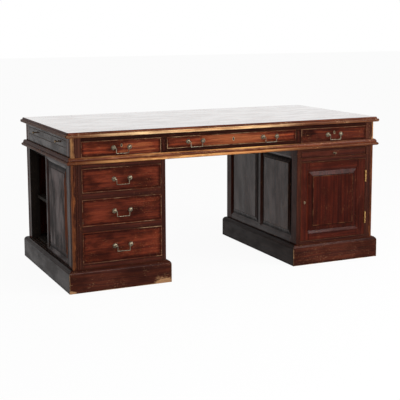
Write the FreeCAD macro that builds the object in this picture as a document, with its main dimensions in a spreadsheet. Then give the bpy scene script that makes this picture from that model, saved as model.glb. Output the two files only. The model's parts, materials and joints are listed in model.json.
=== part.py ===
import FreeCAD, Part
import math
import os
import Sketcher
from FreeCAD import Placement, Rotation, Vector

# A pedestal partners desk, in millimetres. The origin is on the floor under the middle of
# the desk, X runs along its length, -Y is the front and +Z is up. The rear half and the
# right end are the front half and the left end turned half a circle about Z.

doc = FreeCAD.newDocument("partners_desk")
sheet = doc.addObject("Spreadsheet::Sheet", "sizes")


class Size:
    """A length in millimetres: its number, and the sheet expression that gives it."""

    def __init__(self, value, text):
        self.value = float(value)
        self.text = text

    def __add__(self, other):
        other = as_size(other)
        return Size(self.value + other.value, f"({self.text} + {other.text})")

    def __radd__(self, other):
        return as_size(other) + self

    def __sub__(self, other):
        other = as_size(other)
        return Size(self.value - other.value, f"({self.text} - {other.text})")

    def __rsub__(self, other):
        return as_size(other) - self

    def __mul__(self, factor):
        return Size(self.value * factor, f"({self.text} * {factor:.9g})")

    __rmul__ = __mul__

    def __truediv__(self, factor):
        return Size(self.value / factor, f"({self.text} / {factor:g})")

    def __neg__(self):
        return as_size(0) - self


def as_size(value):
    """Return value as a Size, so that numbers and sizes mix."""
    return value if isinstance(value, Size) else Size(value, f"{value:g}")


def size(alias, value, note):
    """Write one driving size into the sheet and return it."""
    size.row += 1
    sheet.set(f"A{size.row}", note)
    sheet.set(f"B{size.row}", f"{value:g}")
    sheet.setAlias(f"B{size.row}", alias)
    return Size(value, f"sizes.{alias}")


size.row = 0

# ---------------------------------------------------------------- driving sizes
# Overall
desk_height = size("desk_height", 780, "floor to the top of the desk")
carcase_length = size("carcase_length", 1722, "frieze and pedestals, end to end")
carcase_depth = size("carcase_depth", 834, "frieze and pedestals, front to rear")
kneehole_width = size("kneehole_width", 754, "between the pedestals")
# Top
top_thickness = size("top_thickness", 26, "whole thickness of the top")
top_bead = size("top_bead", 16.5, "height of the lower bead of the top's edge")
top_step = size("top_step", 9, "how far the upper bead stands in from the lower one")
top_corner = size("top_corner", 12, "plan radius of the top's corners")
top_reach_face = size("top_reach_face", 17, "overhang of the top at front and rear")
top_reach_end = size("top_reach_end", 28, "overhang of the top at the ends")
top_bead_round = size("top_bead_round", 7.5, "rounding of the lower bead")
top_upper_round = size("top_upper_round", 6.5, "rounding of the upper bead")
# Mouldings
reach_face = size("reach_face", 14, "reach of waist and plinth beyond the faces")
reach_end = size("reach_end", 24, "reach of waist and plinth beyond the ends")
waist_height = size("waist_height", 33, "height of the waist moulding")
waist_bead = size("waist_bead", 16, "height of the waist's lower bead")
waist_fillet = size("waist_fillet", 2.5, "flat between the waist's bead and its cove")
plinth_height = size("plinth_height", 112, "height of the plinth")
plinth_square = size("plinth_square", 91, "plain height of the plinth below its lip")
plinth_under = size("plinth_under", 31, "how far the plinth boards reach in under the carcase")
# Frieze
frieze_height = size("frieze_height", 96, "height of the frieze")
frieze_top_rail = size("frieze_top_rail", 19, "height of the rail over the frieze drawers")
frieze_low_rail = size("frieze_low_rail", 18, "height of the rail under the centre drawer")
frieze_divider = size("frieze_divider", 32, "width of the rails beside the centre drawer")
frieze_board = size("frieze_board", 18, "thickness of the frieze's bottom boards")
frieze_base_rail = size("frieze_base_rail", 40, "width of the frame under the frieze")
partition = size("partition", 16, "thickness of the partitions")
end_slide_height = size("end_slide_height", 36, "opening height of the end slides")
slide_board = size("slide_board", 17, "thickness of the pull-out boards")
slide_bevel = size("slide_bevel", 3, "bevel round a brushing slide's facing")
end_slide_room = size("end_slide_room", 64, "room behind a closed end slide")
bearer_width = size("bearer_width", 22, "width of the bearers and runners")
bearer_height = size("bearer_height", 11, "height of the end slides' bearers")
# Pedestals
post_width = size("post_width", 50, "width of the outer corner posts on the faces")
post_depth = size("post_depth", 68, "depth of the corner posts")
inner_post = size("inner_post", 23, "width of the posts at the kneehole")
post_round = size("post_round", 10, "rounding of the outer corner")
reed_width = size("reed_width", 11, "pitch of the reeds beside the corner")
reed_depth = size("reed_depth", 3, "depth of the grooves between the reeds")
reed_centre = size("reed_centre", 6.5, "depth of the centre of a reed's round behind the face")
rail_depth = size("rail_depth", 20, "thickness of the face rails")
top_rail = size("top_rail", 21, "rail over the top pedestal drawer")
upper_rail = size("upper_rail", 33, "rail between the top and middle drawers")
lower_rail = size("lower_rail", 30, "rail between the middle and bottom drawers")
top_drawer = size("top_drawer", 118, "opening height of the top pedestal drawer")
middle_drawer = size("middle_drawer", 131, "opening height of the middle pedestal drawer")
bottom_rail = size("bottom_rail", 26, "rail under the bottom pedestal drawer")
dust_board = size("dust_board", 14, "thickness of the boards under the drawers")
pedestal_top = size("pedestal_top", 10, "thickness of the pedestal's top board")
floor_board = size("floor_board", 10, "thickness of the pedestal's floor")
shelf_board = size("shelf_board", 16, "thickness of the shelf")
shelf_height = size("shelf_height", 219, "cupboard floor to the underside of the shelf")
# Cupboard
slide_opening = size("slide_opening", 38, "opening height of the brushing slide")
slide_top_rail = size("slide_top_rail", 10, "rail over the brushing slide")
slide_rail = size("slide_rail", 22, "rail between the brushing slide and the door")
door_sill = size("door_sill", 16, "rail under the cupboard door")
door_member = size("door_member", 52, "width of the cupboard door's stiles and rails")
# Panels and sliding doors
side_top_rail = size("side_top_rail", 56, "top rail of the kneehole side")
side_low_rail = size("side_low_rail", 39, "bottom rail of the kneehole side")
side_muntin = size("side_muntin", 50, "muntin of the kneehole side")
inner_chamfer = size("inner_chamfer", 14, "width of the chamfer round a panel")
chamfer_depth = size("chamfer_depth", 9, "depth of that chamfer on the thick frames")
thin_chamfer_depth = size("thin_chamfer_depth", 5.5, "depth of that chamfer on the sliding doors")
panel_margin = size("panel_margin", 26, "width of a raised panel's bevel")
panel_edge = size("panel_edge", 7, "thickness of a panel at its edge")
thin_panel_edge = size("thin_panel_edge", 4, "thickness of a sliding door's panel at its edge")
panel_step = size("panel_step", 1.5, "shoulder of the raised field")
field_back = size("field_back", 1, "how far the raised field lies behind its frame")
end_door = size("end_door", 12, "thickness of a sliding door")
end_door_length = size("end_door_length", 390, "length of a sliding door")
end_door_member = size("end_door_member", 33, "width of a sliding door's stiles and rails")
end_top_rail = size("end_top_rail", 33, "rail behind the top of the sliding doors")
track = size("track", 2.5, "width of the strips that guide the sliding doors")
track_height = size("track_height", 3, "height of those strips")
# Drawers
drawer_gap = size("drawer_gap", 0.8, "gap round a drawer front, a door or a slide")
running = size("running", 0.3, "running clearance between moving wood and its guides")
side_play = size("side_play", 1, "play between a drawer's sides and its opening")
front_board = size("front_board", 19, "thickness of a drawer front")
side_board = size("side_board", 10, "thickness of a drawer's sides and back")
bottom_board = size("bottom_board", 6, "thickness of a drawer's bottom")
bottom_lift = size("bottom_lift", 6, "height of the bottom above the sides' lower edge")
bead_width = size("bead_width", 4, "width of the cock-bead")
bead_reach = size("bead_reach", 3, "how far the cock-bead stands proud")
bead_round = size("bead_round", 1.2, "rounding of the cock-bead")
bead_seat = size("bead_seat", 8, "depth of the rebate that holds the cock-bead")
side_drop = size("side_drop", 6, "how far a drawer's sides stay below its opening's top")
frieze_tray = size("frieze_tray", 45, "height of the side frieze drawers' trays")
drawer_stop = size("drawer_stop", 6, "room behind a closed drawer")
# Brass
handle_span = size("handle_span", 82, "between the posts of a drawer handle")
rosette_radius = size("rosette_radius", 12, "radius of a handle's rosette")
rosette_height = size("rosette_height", 4, "height of a rosette")
rosette_bevel = size("rosette_bevel", 2.8, "bevel round a rosette")
stem_radius = size("stem_radius", 4.2, "radius of a handle's post")
stem_reach = size("stem_reach", 19, "reach of a handle's post from the drawer front")
bail_width = size("bail_width", 4.4, "thickness of the bail's bar")
bail_chamfer = size("bail_chamfer", 1.2, "chamfer of the bail's bar")
bail_drop = size("bail_drop", 27, "drop of the bail below its pivots")
bail_inset = size("bail_inset", 9, "how far the bail's legs stand in from its posts")
bail_bend = size("bail_bend", 4.4, "cut corner at the foot of the bail's legs")
bail_shoulder = size("bail_shoulder", 4.4, "reach of the bail's bar from its legs towards its posts")
bail_pin = size("bail_pin", 1.7, "radius of the bail's pivot ends")
pivot_play = size("pivot_play", 0.4, "play round the bail's pivot ends")
knob_radius = size("knob_radius", 9, "radius of a slide's knob")
knob_reach = size("knob_reach", 20, "reach of a slide's knob")
knob_neck = size("knob_neck", 4, "radius of a knob's neck")
knob_stalk = size("knob_stalk", 4, "length of a knob's neck")
knob_bevel = size("knob_bevel", 4.5, "bevel that rounds a knob")
centre_handle = size("centre_handle", 212, "middle of the desk to the middle of a centre handle")
frieze_handle = size("frieze_handle", 39, "height of a side frieze handle above its opening")
frieze_lock = size("frieze_lock", 49, "height of a side frieze keyhole above its opening")
end_knob = size("end_knob", 207, "middle of an end slide to its knobs")
door_lock = size("door_lock", 210, "height of the door's keyhole above its opening")
door_lock_in = size("door_lock_in", 26, "door opening's edge to its keyhole")
scutcheon_width = size("scutcheon_width", 9, "width of a keyhole plate")
centre_scutcheon_width = size("centre_scutcheon_width", 11.25, "width of a centre drawer's keyhole plate")
scutcheon_height = size("scutcheon_height", 16, "height of a keyhole plate's straight sides")
centre_scutcheon_height = size("centre_scutcheon_height", 20, "height of a centre plate's straight sides")
scutcheon_plate = size("scutcheon_plate", 1.5, "thickness of a keyhole plate")
keyhole = size("keyhole", 2, "half the width of a keyhole")
keyhole_height = size("keyhole_height", 6, "height of a keyhole's straight sides")
lock_width = size("lock_width", 50, "width of a lock's case")
lock_height = size("lock_height", 30, "height of a lock's case")
lock_case = size("lock_case", 9, "thickness of a lock's case")
hinge_height = size("hinge_height", 64, "height of a cupboard hinge")
hinge_leaf = size("hinge_leaf", 18, "width of a hinge leaf")
hinge_plate = size("hinge_plate", 2, "thickness of a hinge leaf")
knuckle_radius = size("knuckle_radius", 4, "radius of a hinge's knuckles")
hinge_pin = size("hinge_pin", 1.6, "radius of a hinge pin")
hinge_end = size("hinge_end", 66, "door edge to the near end of a hinge")
cutter_reach = size("cutter_reach", 2, "how far a cut reaches past the wood or brass it cuts")
doc.recompute()

# ---------------------------------------------------------------- places worked out from them
end_x = carcase_length / 2
face_y = carcase_depth / 2
inner_x = kneehole_width / 2
frieze_top = desk_height - top_thickness
frieze_foot = frieze_top - frieze_height
waist_foot = frieze_foot - waist_height
opening_outer = end_x - post_width
opening_inner = inner_x + inner_post
opening_width = opening_outer - opening_inner
centre_half = opening_inner - frieze_divider
centre_opening = centre_half * 2
post_inner_y = face_y - post_depth
half_partition = partition / 2
rail_back = face_y - rail_depth
tray_depth = rail_back - half_partition - drawer_stop
# Depth of the end: lip, outer door, ridge, inner door, then the board and floor behind them
outer_door_x = end_x - track - running
ridge_x = outer_door_x - end_door - running
inner_door_x = ridge_x - track - running
floor_x = inner_door_x - end_door - running


# Cross partitions of the frieze, which stop the end slides
cross_outer = opening_inner - partition / 2
cross_inner = opening_inner - partition * 1.5
end_slide_length = end_x - cross_outer - end_slide_room
# Pivots
pivot_reach = stem_reach - stem_radius
pivot_x = opening_width / 2 - drawer_gap / 2
pivot_out = knuckle_radius + running
# Heights of the openings' lower edges
top_drawer_z = waist_foot - top_rail - top_drawer
middle_drawer_z = top_drawer_z - upper_rail - middle_drawer
bottom_drawer_z = plinth_height + bottom_rail
bottom_drawer = middle_drawer_z - lower_rail - bottom_drawer_z
slide_z = waist_foot - slide_top_rail - slide_opening
door_top_z = slide_z - slide_rail
door_z = plinth_height + door_sill
slide_board_z = waist_foot - slide_top_rail - drawer_gap - slide_board
frieze_drawer_top = frieze_top - frieze_top_rail
end_slide_z = frieze_drawer_top - end_slide_height
end_board_z = frieze_drawer_top - drawer_gap - slide_board
centre_z = frieze_foot + frieze_low_rail


# ---------------------------------------------------------------- drawing helpers
def bind(thing, name, value):
    """Bind one property of an object to a size."""
    thing.setExpression(name, as_size(value).text)


def place(thing, x=0, y=0, z=0, turn=0.0, axis=Vector(0, 0, 1)):
    """Turn an object about an axis, and bind its place to sizes."""
    thing.Placement = Placement(Vector(0, 0, 0), Rotation(axis, turn))
    for letter, value in zip("xyz", (x, y, z)):
        bind(thing, f"Placement.Base.{letter}", value)
    return thing


def box(name, x, y, z):
    """Return a block between two sizes along each axis."""
    block = doc.addObject("Part::Box", name)
    for side, (low, high) in zip(("Length", "Width", "Height"), (x, y, z)):
        bind(block, side, as_size(high) - low)
    return place(block, x[0], y[0], z[0])


def cylinder(name, radius, height):
    """Return an upright cylinder on the origin."""
    rod = doc.addObject("Part::Cylinder", name)
    bind(rod, "Radius", radius)
    bind(rod, "Height", height)
    return rod


def cut(name, base, tool):
    """Return base with tool taken away."""
    result = doc.addObject("Part::Cut", name)
    result.Base = base
    result.Tool = tool
    return result


def fuse(name, *parts):
    """Return touching shapes joined into one solid."""
    result = doc.addObject("Part::MultiFuse", name)
    result.Shapes = list(parts)
    result.Refine = True
    return result


def group(name, parts, turn=0.0, at=(0, 0, 0), axis=Vector(0, 0, 1)):
    """Return separate solids held as one object, turned and placed together."""
    result = doc.addObject("Part::Compound", name)
    result.Links = list(parts)
    return place(result, *at, turn=turn, axis=axis)


def turned(name, part):
    """Return the same piece half a turn about the desk's upright middle line."""
    return group(name, [part], turn=180.0)


def wedge(name, low, high, depth):
    """Return a block that narrows along +Y from the low (x, z) ranges to the high ones."""
    taper = doc.addObject("Part::Wedge", name)
    ranges = {"Xmin": low[0][0], "Xmax": low[0][1], "Zmin": low[1][0], "Zmax": low[1][1],
              "X2min": high[0][0], "X2max": high[0][1], "Z2min": high[1][0], "Z2max": high[1][1],
              "Ymin": depth[0], "Ymax": depth[1]}
    for side, value in ranges.items():
        bind(taper, side, value)
    return taper


def body(name):
    """Return a new PartDesign body."""
    return doc.addObject("PartDesign::Body", name)


def origin_plane(owner, role):
    """Return one of a body's own origin planes."""
    return next(item for item in owner.Origin.OriginFeatures if item.Role == role)


def arc_centre(start, finish, axis, value):
    """Return the centre on a given x or y that is as far from both ends of an arc."""
    known = as_size(value).value
    squares = finish.x ** 2 + finish.y ** 2 - start.x ** 2 - start.y ** 2
    if axis == "x":
        return Vector(known, (squares - 2 * known * (finish.x - start.x)) / (2 * (finish.y - start.y)), 0)
    return Vector((squares - 2 * known * (finish.y - start.y)) / (2 * (finish.x - start.x)), known, 0)


def sketch(owner, role, *loops, offset=0, closed=True):
    """Draw closed loops on an origin plane of a body and bind every point to the sizes.

    A loop is a list of corners (x, y), and its last corner only ends it where closed is
    false. A corner with a third item (turn, axis, value) starts an arc: turn is "left" or
    "right", and the arc's centre has that value as its x or y.
    """
    drawing = owner.newObject("Sketcher::SketchObject", f"{owner.Name}_{role[:2]}_sketch")
    drawing.AttachmentSupport = (origin_plane(owner, role), [""])
    drawing.MapMode = "FlatFace"
    bind(drawing, "AttachmentOffset.Base.z", offset)
    for loop in loops:
        first = drawing.GeometryCount
        spots = [Vector(as_size(corner[0]).value, as_size(corner[1]).value, 0) for corner in loop]
        ends = []
        for index, corner in enumerate(loop if closed else loop[:-1]):
            start = spots[index]
            finish = spots[(index + 1) % len(loop)]
            if len(corner) == 2:
                drawing.addGeometry(Part.LineSegment(start, finish), False)
                ends.append((1, 2))
                continue
            turn, axis, value = corner[2]
            centre = arc_centre(start, finish, axis, value)
            ring = Part.Circle(centre, Vector(0, 0, 1), (start - centre).Length)
            low, high = (start, finish) if turn == "left" else (finish, start)
            arc = Part.ArcOfCircle(ring, ring.parameter(low), ring.parameter(high))
            drawing.addGeometry(arc, False)
            ends.append((1, 2) if turn == "left" else (2, 1))
        for index, corner in enumerate(loop[:len(ends)]):
            edge = first + index
            before = first + (index - 1) % len(loop)
            if closed or index:
                joint = Sketcher.Constraint("Coincident", before, ends[index - 1][1], edge, ends[index][0])
                drawing.addConstraint(joint)
            fix(drawing, "DistanceX", edge, ends[index][0], corner[0])
            fix(drawing, "DistanceY", edge, ends[index][0], corner[1])
            if len(corner) == 3:
                fix(drawing, "Distance" + corner[2][1].upper(), edge, 3, corner[2][2])
        if not closed:
            fix(drawing, "DistanceX", first + len(ends) - 1, ends[-1][1], loop[-1][0])
            fix(drawing, "DistanceY", first + len(ends) - 1, ends[-1][1], loop[-1][1])
    return drawing


def fix(drawing, kind, edge, point, value):
    """Fix a point's distance from the sketch's origin along one axis."""
    value = as_size(value)
    number = drawing.addConstraint(Sketcher.Constraint(kind, -1, 1, edge, point, value.value))
    drawing.setExpression(f"Constraints[{number}]", value.text)


def rectangle(x, y):
    """Return the loop of a rectangle between two sizes along each axis."""
    return [(x[0], y[0]), (x[1], y[0]), (x[1], y[1]), (x[0], y[1])]


def pad(owner, drawing, length, back=False, both=False):
    """Extrude a sketch along its plane's normal, or back, or half to each side."""
    doc.recompute()
    solid = owner.newObject("PartDesign::Pad", f"{owner.Name}_pad")
    solid.Profile = drawing
    bind(solid, "Length", length)
    solid.Reversed = back
    solid.Midplane = both
    return solid


def pocket(owner, drawing, length, back=False, both=False):
    """Cut a sketch out of a body, the way pad adds one."""
    hollow = owner.newObject("PartDesign::Pocket", f"{owner.Name}_pocket")
    hollow.Profile = drawing
    bind(hollow, "Length", length)
    hollow.Reversed = back
    hollow.Midplane = both
    return hollow


def dress(owner, kind, picked, value):
    """Fillet or chamfer the edges of a body's last shape whose middle point is picked."""
    doc.recompute()
    base = owner.Tip
    names = [f"Edge{number + 1}" for number, edge in enumerate(base.Shape.Edges)
             if picked(edge.CenterOfMass, edge)]
    edges = owner.newObject(f"PartDesign::{kind}", f"{owner.Name}_{kind.lower()}")
    edges.Base = (base, names)
    bind(edges, "Radius" if kind == "Fillet" else "Size", value)
    doc.recompute()
    return edges


def near(value, target):
    """Return whether a coordinate lies on a size's plane."""
    return abs(value - as_size(target).value) < 0.01


def circle(x, y, radius):
    """Return the loop of a circle, as two half rounds."""
    return [(x + radius, y, ("left", "y", y)), (x - radius, y, ("left", "y", y))]


def mirrored(name, part):
    """Return the mirror image of a piece across the desk's upright middle plane."""
    image = doc.addObject("Part::Mirroring", name)
    image.Source = part
    image.Base = Vector(0, 0, 0)
    image.Normal = Vector(1, 0, 0)
    return image


# ---------------------------------------------------------------- the top
def rounded_rectangle(half_x, half_y, radius):
    """Return the loop of a rectangle with round corners, about the origin."""
    left, right, low, high = -half_x, half_x, -half_y, half_y
    return [(left + radius, low),
            (right - radius, low, ("left", "x", right - radius)), (right, low + radius),
            (right, high - radius, ("left", "x", right - radius)), (right - radius, high),
            (left + radius, high, ("left", "x", left + radius)), (left, high - radius),
            (left, low + radius, ("left", "x", left + radius))]


def desk_top():
    """Build the top: a thick lower bead, and a thinner bead that stands in above it."""
    slab = body("top_slab")
    half_x = end_x + top_reach_end
    half_y = face_y + top_reach_face
    lower = sketch(slab, "XY_Plane", rounded_rectangle(half_x, half_y, top_corner))
    pad(slab, lower, top_bead)
    upper_loop = rounded_rectangle(half_x - top_step, half_y - top_step, top_corner)
    upper = sketch(slab, "XY_Plane", upper_loop, offset=top_bead)
    pad(slab, upper, top_thickness - top_bead)

    def on_lower_bead(middle, edge):
        in_x = (half_x - top_step).value + 1
        in_y = (half_y - top_step).value + 1
        outside = abs(middle.x) > in_x or abs(middle.y) > in_y
        return outside and (near(middle.z, 0) or near(middle.z, top_bead))

    dress(slab, "Fillet", on_lower_bead, top_bead_round)
    dress(slab, "Fillet", lambda middle, edge: near(middle.z, top_thickness), top_upper_round)
    return group("desk_top", [slab], at=(0, 0, frieze_top))


# ---------------------------------------------------------------- corner posts
def reeded_post(name, height):
    """Build an outer corner post: a round corner with two reeds beside it on each side."""
    post = body(name)
    first = post_round + reed_width
    last = first + reed_width
    face = [(post_round, 0), (post_round, reed_depth, ("left", "y", reed_centre)),
            (first, reed_depth, ("left", "y", reed_centre)), (last, reed_depth), (last, 0)]
    side = [(0, last), (reed_depth, last, ("left", "x", reed_centre)),
            (reed_depth, first, ("left", "x", reed_centre)), (reed_depth, post_round),
            (0, post_round, ("left", "x", post_round))]
    outline = face + [(post_width, 0), (post_width, post_depth), (0, post_depth)] + side
    pad(post, sketch(post, "XY_Plane", outline), height)
    return post


def outer_posts(name, foot, height):
    """Return the two outer posts of the front, left and right."""
    left = group(f"{name}_left", [reeded_post(f"{name}_reeds", height)], at=(-end_x, -face_y, foot))
    return [left, mirrored(f"{name}_right", left)]


# ---------------------------------------------------------------- mouldings
def moulding_run(name, outline, length, depth, mitre, height):
    """Build one run of a moulding, mitred at both ends.

    The run lies along X with its outer face at y = 0 and its back at y = depth. The mitres
    go in as far as the thinner of the two runs that meet.
    """
    run = body(name)
    pad(run, sketch(run, "YZ_Plane", outline), length, both=True)
    end = length / 2
    loops = []
    for side in (1, -1):
        loops.append([(side * end, 0), (side * (end - mitre), mitre),
                      (side * (end - mitre), depth + cutter_reach),
                      (side * (end + cutter_reach), depth + cutter_reach), (side * (end + cutter_reach), 0)])
    doc.recompute()
    pocket(run, sketch(run, "XY_Plane", *loops), height * 2 + cutter_reach, both=True)
    return run


def ring(name, profile, middle_x, half_x, half_y, depths, height, foot):
    """Return the four mitred runs of a moulding round a rectangle: front, rear, left, right."""
    thin = depths[0]
    runs = []
    for side, turn, length, depth, x, y in (
            ("front", 0, half_x * 2, depths[0], middle_x, -half_y),
            ("rear", 180, half_x * 2, depths[0], middle_x, half_y),
            ("left", -90, half_y * 2, depths[1], middle_x - half_x, 0),
            ("right", 90, half_y * 2, depths[1], middle_x + half_x, 0)):
        run = moulding_run(f"{name}_{side}_run", profile(depth), length, depth, thin, height)
        runs.append(group(f"{name}_{side}", [run], turn=turn, at=(x, y, foot)))
    return runs


def plinth_profile(depth):
    """Return a plinth board's outline: plain below, with a round lip that ends at the face."""
    return [(0, 0), (depth, 0), (depth, plinth_height),
            (reach_face, plinth_height, ("left", "y", plinth_square)), (0, plinth_square)]


def waist_profile(depth):
    """Return the waist moulding's outline: a thick bead with a cove and flat above it."""
    bead = waist_bead / 2
    shelf = [(depth, waist_height)] if depth.value > reach_face.value else []
    return [(bead, 0), (depth, 0), *shelf,
            (reach_face, waist_height, ("left", "y", waist_bead + waist_fillet)),
            (bead, waist_bead + waist_fillet), (bead, waist_bead, ("left", "x", bead))]


def plinths():
    """Build the two plinths."""
    middle = (end_x + inner_x) / 2
    half_x = (end_x - inner_x) / 2 + reach_end
    depths = (reach_face + plinth_under, reach_end + plinth_under)
    left = ring("left_plinth", plinth_profile, -middle, half_x, face_y + reach_face, depths,
                plinth_height, 0)
    return [piece for run in left for piece in (run, turned(f"{run.Name}_turned", run))]


def waist():
    """Build the moulding round the foot of the frieze."""
    return ring("waist", waist_profile, as_size(0), end_x + reach_end, face_y + reach_face,
                (reach_face, reach_end), waist_height, waist_foot)


# ---------------------------------------------------------------- fixed frames
def frieze_faces():
    """Build the front frame of the frieze: top rail, two dividers, rail under the middle."""
    y = (-face_y, -rail_back)
    rail = box("frieze_face_top", (-opening_outer, opening_outer), y, (frieze_drawer_top, frieze_top))
    low = box("frieze_face_low", (-centre_half, centre_half), y, (frieze_foot, centre_z))
    divider = box("frieze_face_divider", (-opening_inner, -centre_half), y, (frieze_foot, frieze_drawer_top))
    return [rail, low, divider, mirrored("frieze_face_divider_right", divider)]


def frieze_ends():
    """Build the left end's frame: a rail over the slide and a rail under it."""
    x = (-end_x, -end_x + rail_depth)
    y = (-post_inner_y, post_inner_y)
    top = box("frieze_end_top", x, y, (frieze_drawer_top, frieze_top))
    low = box("frieze_end_low", x, y, (frieze_foot, end_slide_z))
    return [top, low]


def frieze_carcase():
    """Build the frieze's base frame, bottom boards, partitions, guides and slide bearers."""
    base_z = (waist_foot, frieze_foot)
    base_y = face_y - frieze_base_rail
    base_x = end_x - frieze_base_rail
    board_z = (frieze_foot - frieze_board, frieze_foot)
    cross_x = (-cross_outer, -cross_inner)
    guide_z = (frieze_foot, centre_z)
    bearer_z = (end_board_z - running - bearer_height, end_board_z - running)
    inner_guide_x = (-opening_inner, cross_x[0])
    outer_guide_x = (-opening_outer - partition / 2, -opening_outer)
    end_room_x = (-end_x + rail_depth, cross_x[0])
    runner_y = (-rail_back, -half_partition)
    half = [
        box("base_rail_front", (-end_x, end_x), (-face_y, -base_y), base_z),
        box("base_rail_end", (-end_x, -base_x), (-base_y, base_y), base_z),
        box("bottom_board_end", (-base_x, -inner_x), (-base_y, base_y), board_z),
        box("cross_partition", cross_x, (-rail_back, rail_back), (frieze_foot, frieze_top)),
        box("end_partition", end_room_x, (-half_partition, half_partition), (frieze_foot, bearer_z[1])),
        box("inner_guide", inner_guide_x, runner_y, guide_z),
        box("inner_guide_rear", inner_guide_x, (half_partition, rail_back), guide_z),
        box("outer_guide", outer_guide_x, (-post_inner_y, -half_partition), guide_z),
        box("outer_guide_rear", outer_guide_x, (half_partition, post_inner_y), guide_z),
        box("bearer_front", end_room_x, (-post_inner_y, -post_inner_y + bearer_width), bearer_z),
        box("bearer_rear", end_room_x, (post_inner_y - bearer_width, post_inner_y), bearer_z),
        box("centre_runner", (-centre_half + side_play, -centre_half + bearer_width), runner_y, guide_z),
        box("centre_runner_right", (centre_half - bearer_width, centre_half - side_play), runner_y, guide_z),
    ]
    middle = [
        box("bottom_board_middle", (-inner_x, inner_x), (-base_y, base_y), board_z),
        box("middle_partition", (cross_x[1], -cross_x[1]), (-half_partition, half_partition),
            (frieze_foot, frieze_top)),
    ]
    return half + [turned(f"{piece.Name}_turned", piece) for piece in half] + middle


def chamfer_tool(name, x, z, depth):
    """Return the cutter that chamfers every member round one opening, mitres and all."""
    outer = ((x[0] - inner_chamfer, x[1] + inner_chamfer), (z[0] - inner_chamfer, z[1] + inner_chamfer))
    return wedge(name, outer, (x, z), (0, depth))


def raised_panel(name, x, z, depth, edge):
    """Build a raised and fielded panel that fills an opening behind its chamfer."""
    inner = ((x[0] + panel_margin, x[1] - panel_margin), (z[0] + panel_margin, z[1] - panel_margin))
    shoulder = field_back + panel_step
    base = box(f"{name}_base", x, (depth, depth + edge), z)
    bevel = wedge(f"{name}_bevel", inner, (x, z), (shoulder, depth))
    field = box(f"{name}_field", inner[0], (field_back, shoulder), inner[1])
    return fuse(name, base, bevel, field)


def kneehole_side():
    """Build the left pedestal's kneehole side, as it is seen, and its two inner posts.

    Returns the posts, the rails and muntin, and the panels, each turned to its place.
    """
    z = (plinth_height + side_low_rail, waist_foot - side_top_rail)
    half = side_muntin / 2
    openings = [((-post_inner_y, -half), z), ((half, post_inner_y), z)]
    tools = [chamfer_tool(f"side_chamfer_{number}", *opening, chamfer_depth)
             for number, opening in enumerate(openings)]
    cutter = group("side_chamfers", tools)
    y = (0, inner_post)
    tall = (plinth_height, waist_foot)
    front_blank = box("inner_post_front_blank", (-face_y, -post_inner_y), y, tall)
    rear_blank = box("inner_post_rear_blank", (post_inner_y, face_y), y, tall)
    posts = [cut("inner_post_front", front_blank, cutter), cut("inner_post_rear", rear_blank, cutter)]
    span = (-post_inner_y, post_inner_y)
    members = [cut("side_rail_top", box("side_rail_top_blank", span, y, (z[1], waist_foot)), cutter),
               cut("side_rail_low", box("side_rail_low_blank", span, y, (plinth_height, z[0])), cutter),
               cut("side_muntin_cut", box("side_muntin_blank", (-half, half), y, z), cutter)]
    panels = [raised_panel(f"side_panel_{number}", *opening, chamfer_depth, panel_edge)
              for number, opening in enumerate(openings)]
    return [group(name, parts, turn=90.0, at=(-inner_x, 0, 0)) for name, parts in
            (("inner_posts", posts), ("side_members", members), ("side_panels", panels))]


def pedestal_rails():
    """Build the face rails: the left pedestal's drawer rails and the right one's cupboard rails."""
    y = (-face_y, -rail_back)
    left = (-opening_outer, -opening_inner)
    right = (opening_inner, opening_outer)
    return [box("drawer_top_rail", left, y, (top_drawer_z + top_drawer, waist_foot)),
            box("drawer_upper_rail", left, y, (middle_drawer_z + middle_drawer, top_drawer_z)),
            box("drawer_lower_rail", left, y, (bottom_drawer_z + bottom_drawer, middle_drawer_z)),
            box("drawer_bottom_rail", left, y, (plinth_height, bottom_drawer_z)),
            box("slide_top_rail_piece", right, y, (waist_foot - slide_top_rail, waist_foot)),
            box("slide_rail_piece", right, y, (door_top_z, slide_z)),
            box("door_sill_piece", right, y, (plinth_height, door_z))]


def pedestal_carcase():
    """Build the left pedestal's inner boards, and turn a copy to the right pedestal."""
    x = (-opening_outer, -opening_inner)
    behind = (-rail_back, -half_partition)
    end = (-floor_x, -opening_outer)
    wall_z = (plinth_height + floor_board, waist_foot - pedestal_top)
    parts = [
        box("floor_main", x, (-rail_back, rail_back), (plinth_height, wall_z[0])),
        box("floor_end", end, (-post_inner_y, post_inner_y), (plinth_height, wall_z[0])),
        box("pedestal_top_board", x, (-rail_back, rail_back), (wall_z[1], waist_foot)),
        box("pedestal_partition", x, (-half_partition, half_partition), wall_z),
        box("end_wall", end, (-post_inner_y, half_partition), (wall_z[0], waist_foot - end_top_rail)),
        box("end_rail", end, (-post_inner_y, post_inner_y), (waist_foot - end_top_rail, waist_foot)),
    ]
    for name, top in (("upper", top_drawer_z), ("middle", middle_drawer_z), ("lower", bottom_drawer_z)):
        parts.append(box(f"dust_board_{name}", x, behind, (top - dust_board, top)))
    bearer_z = (slide_board_z - running - dust_board, slide_board_z - running)
    away = (half_partition, rail_back)
    parts.append(box("slide_bearer_inner", (x[1] - bearer_width, x[1]), away, bearer_z))
    parts.append(box("slide_bearer_outer", (x[0], x[0] + bearer_width), away, bearer_z))
    stop_width = door_lock_in - lock_height / 2 - running
    parts.append(box("door_stop", (x[1] - stop_width, x[1]), (rail_back - dust_board, rail_back - running),
                     (wall_z[0], bearer_z[0])))
    return parts + [turned(f"{piece.Name}_turned", piece) for piece in parts]


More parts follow.
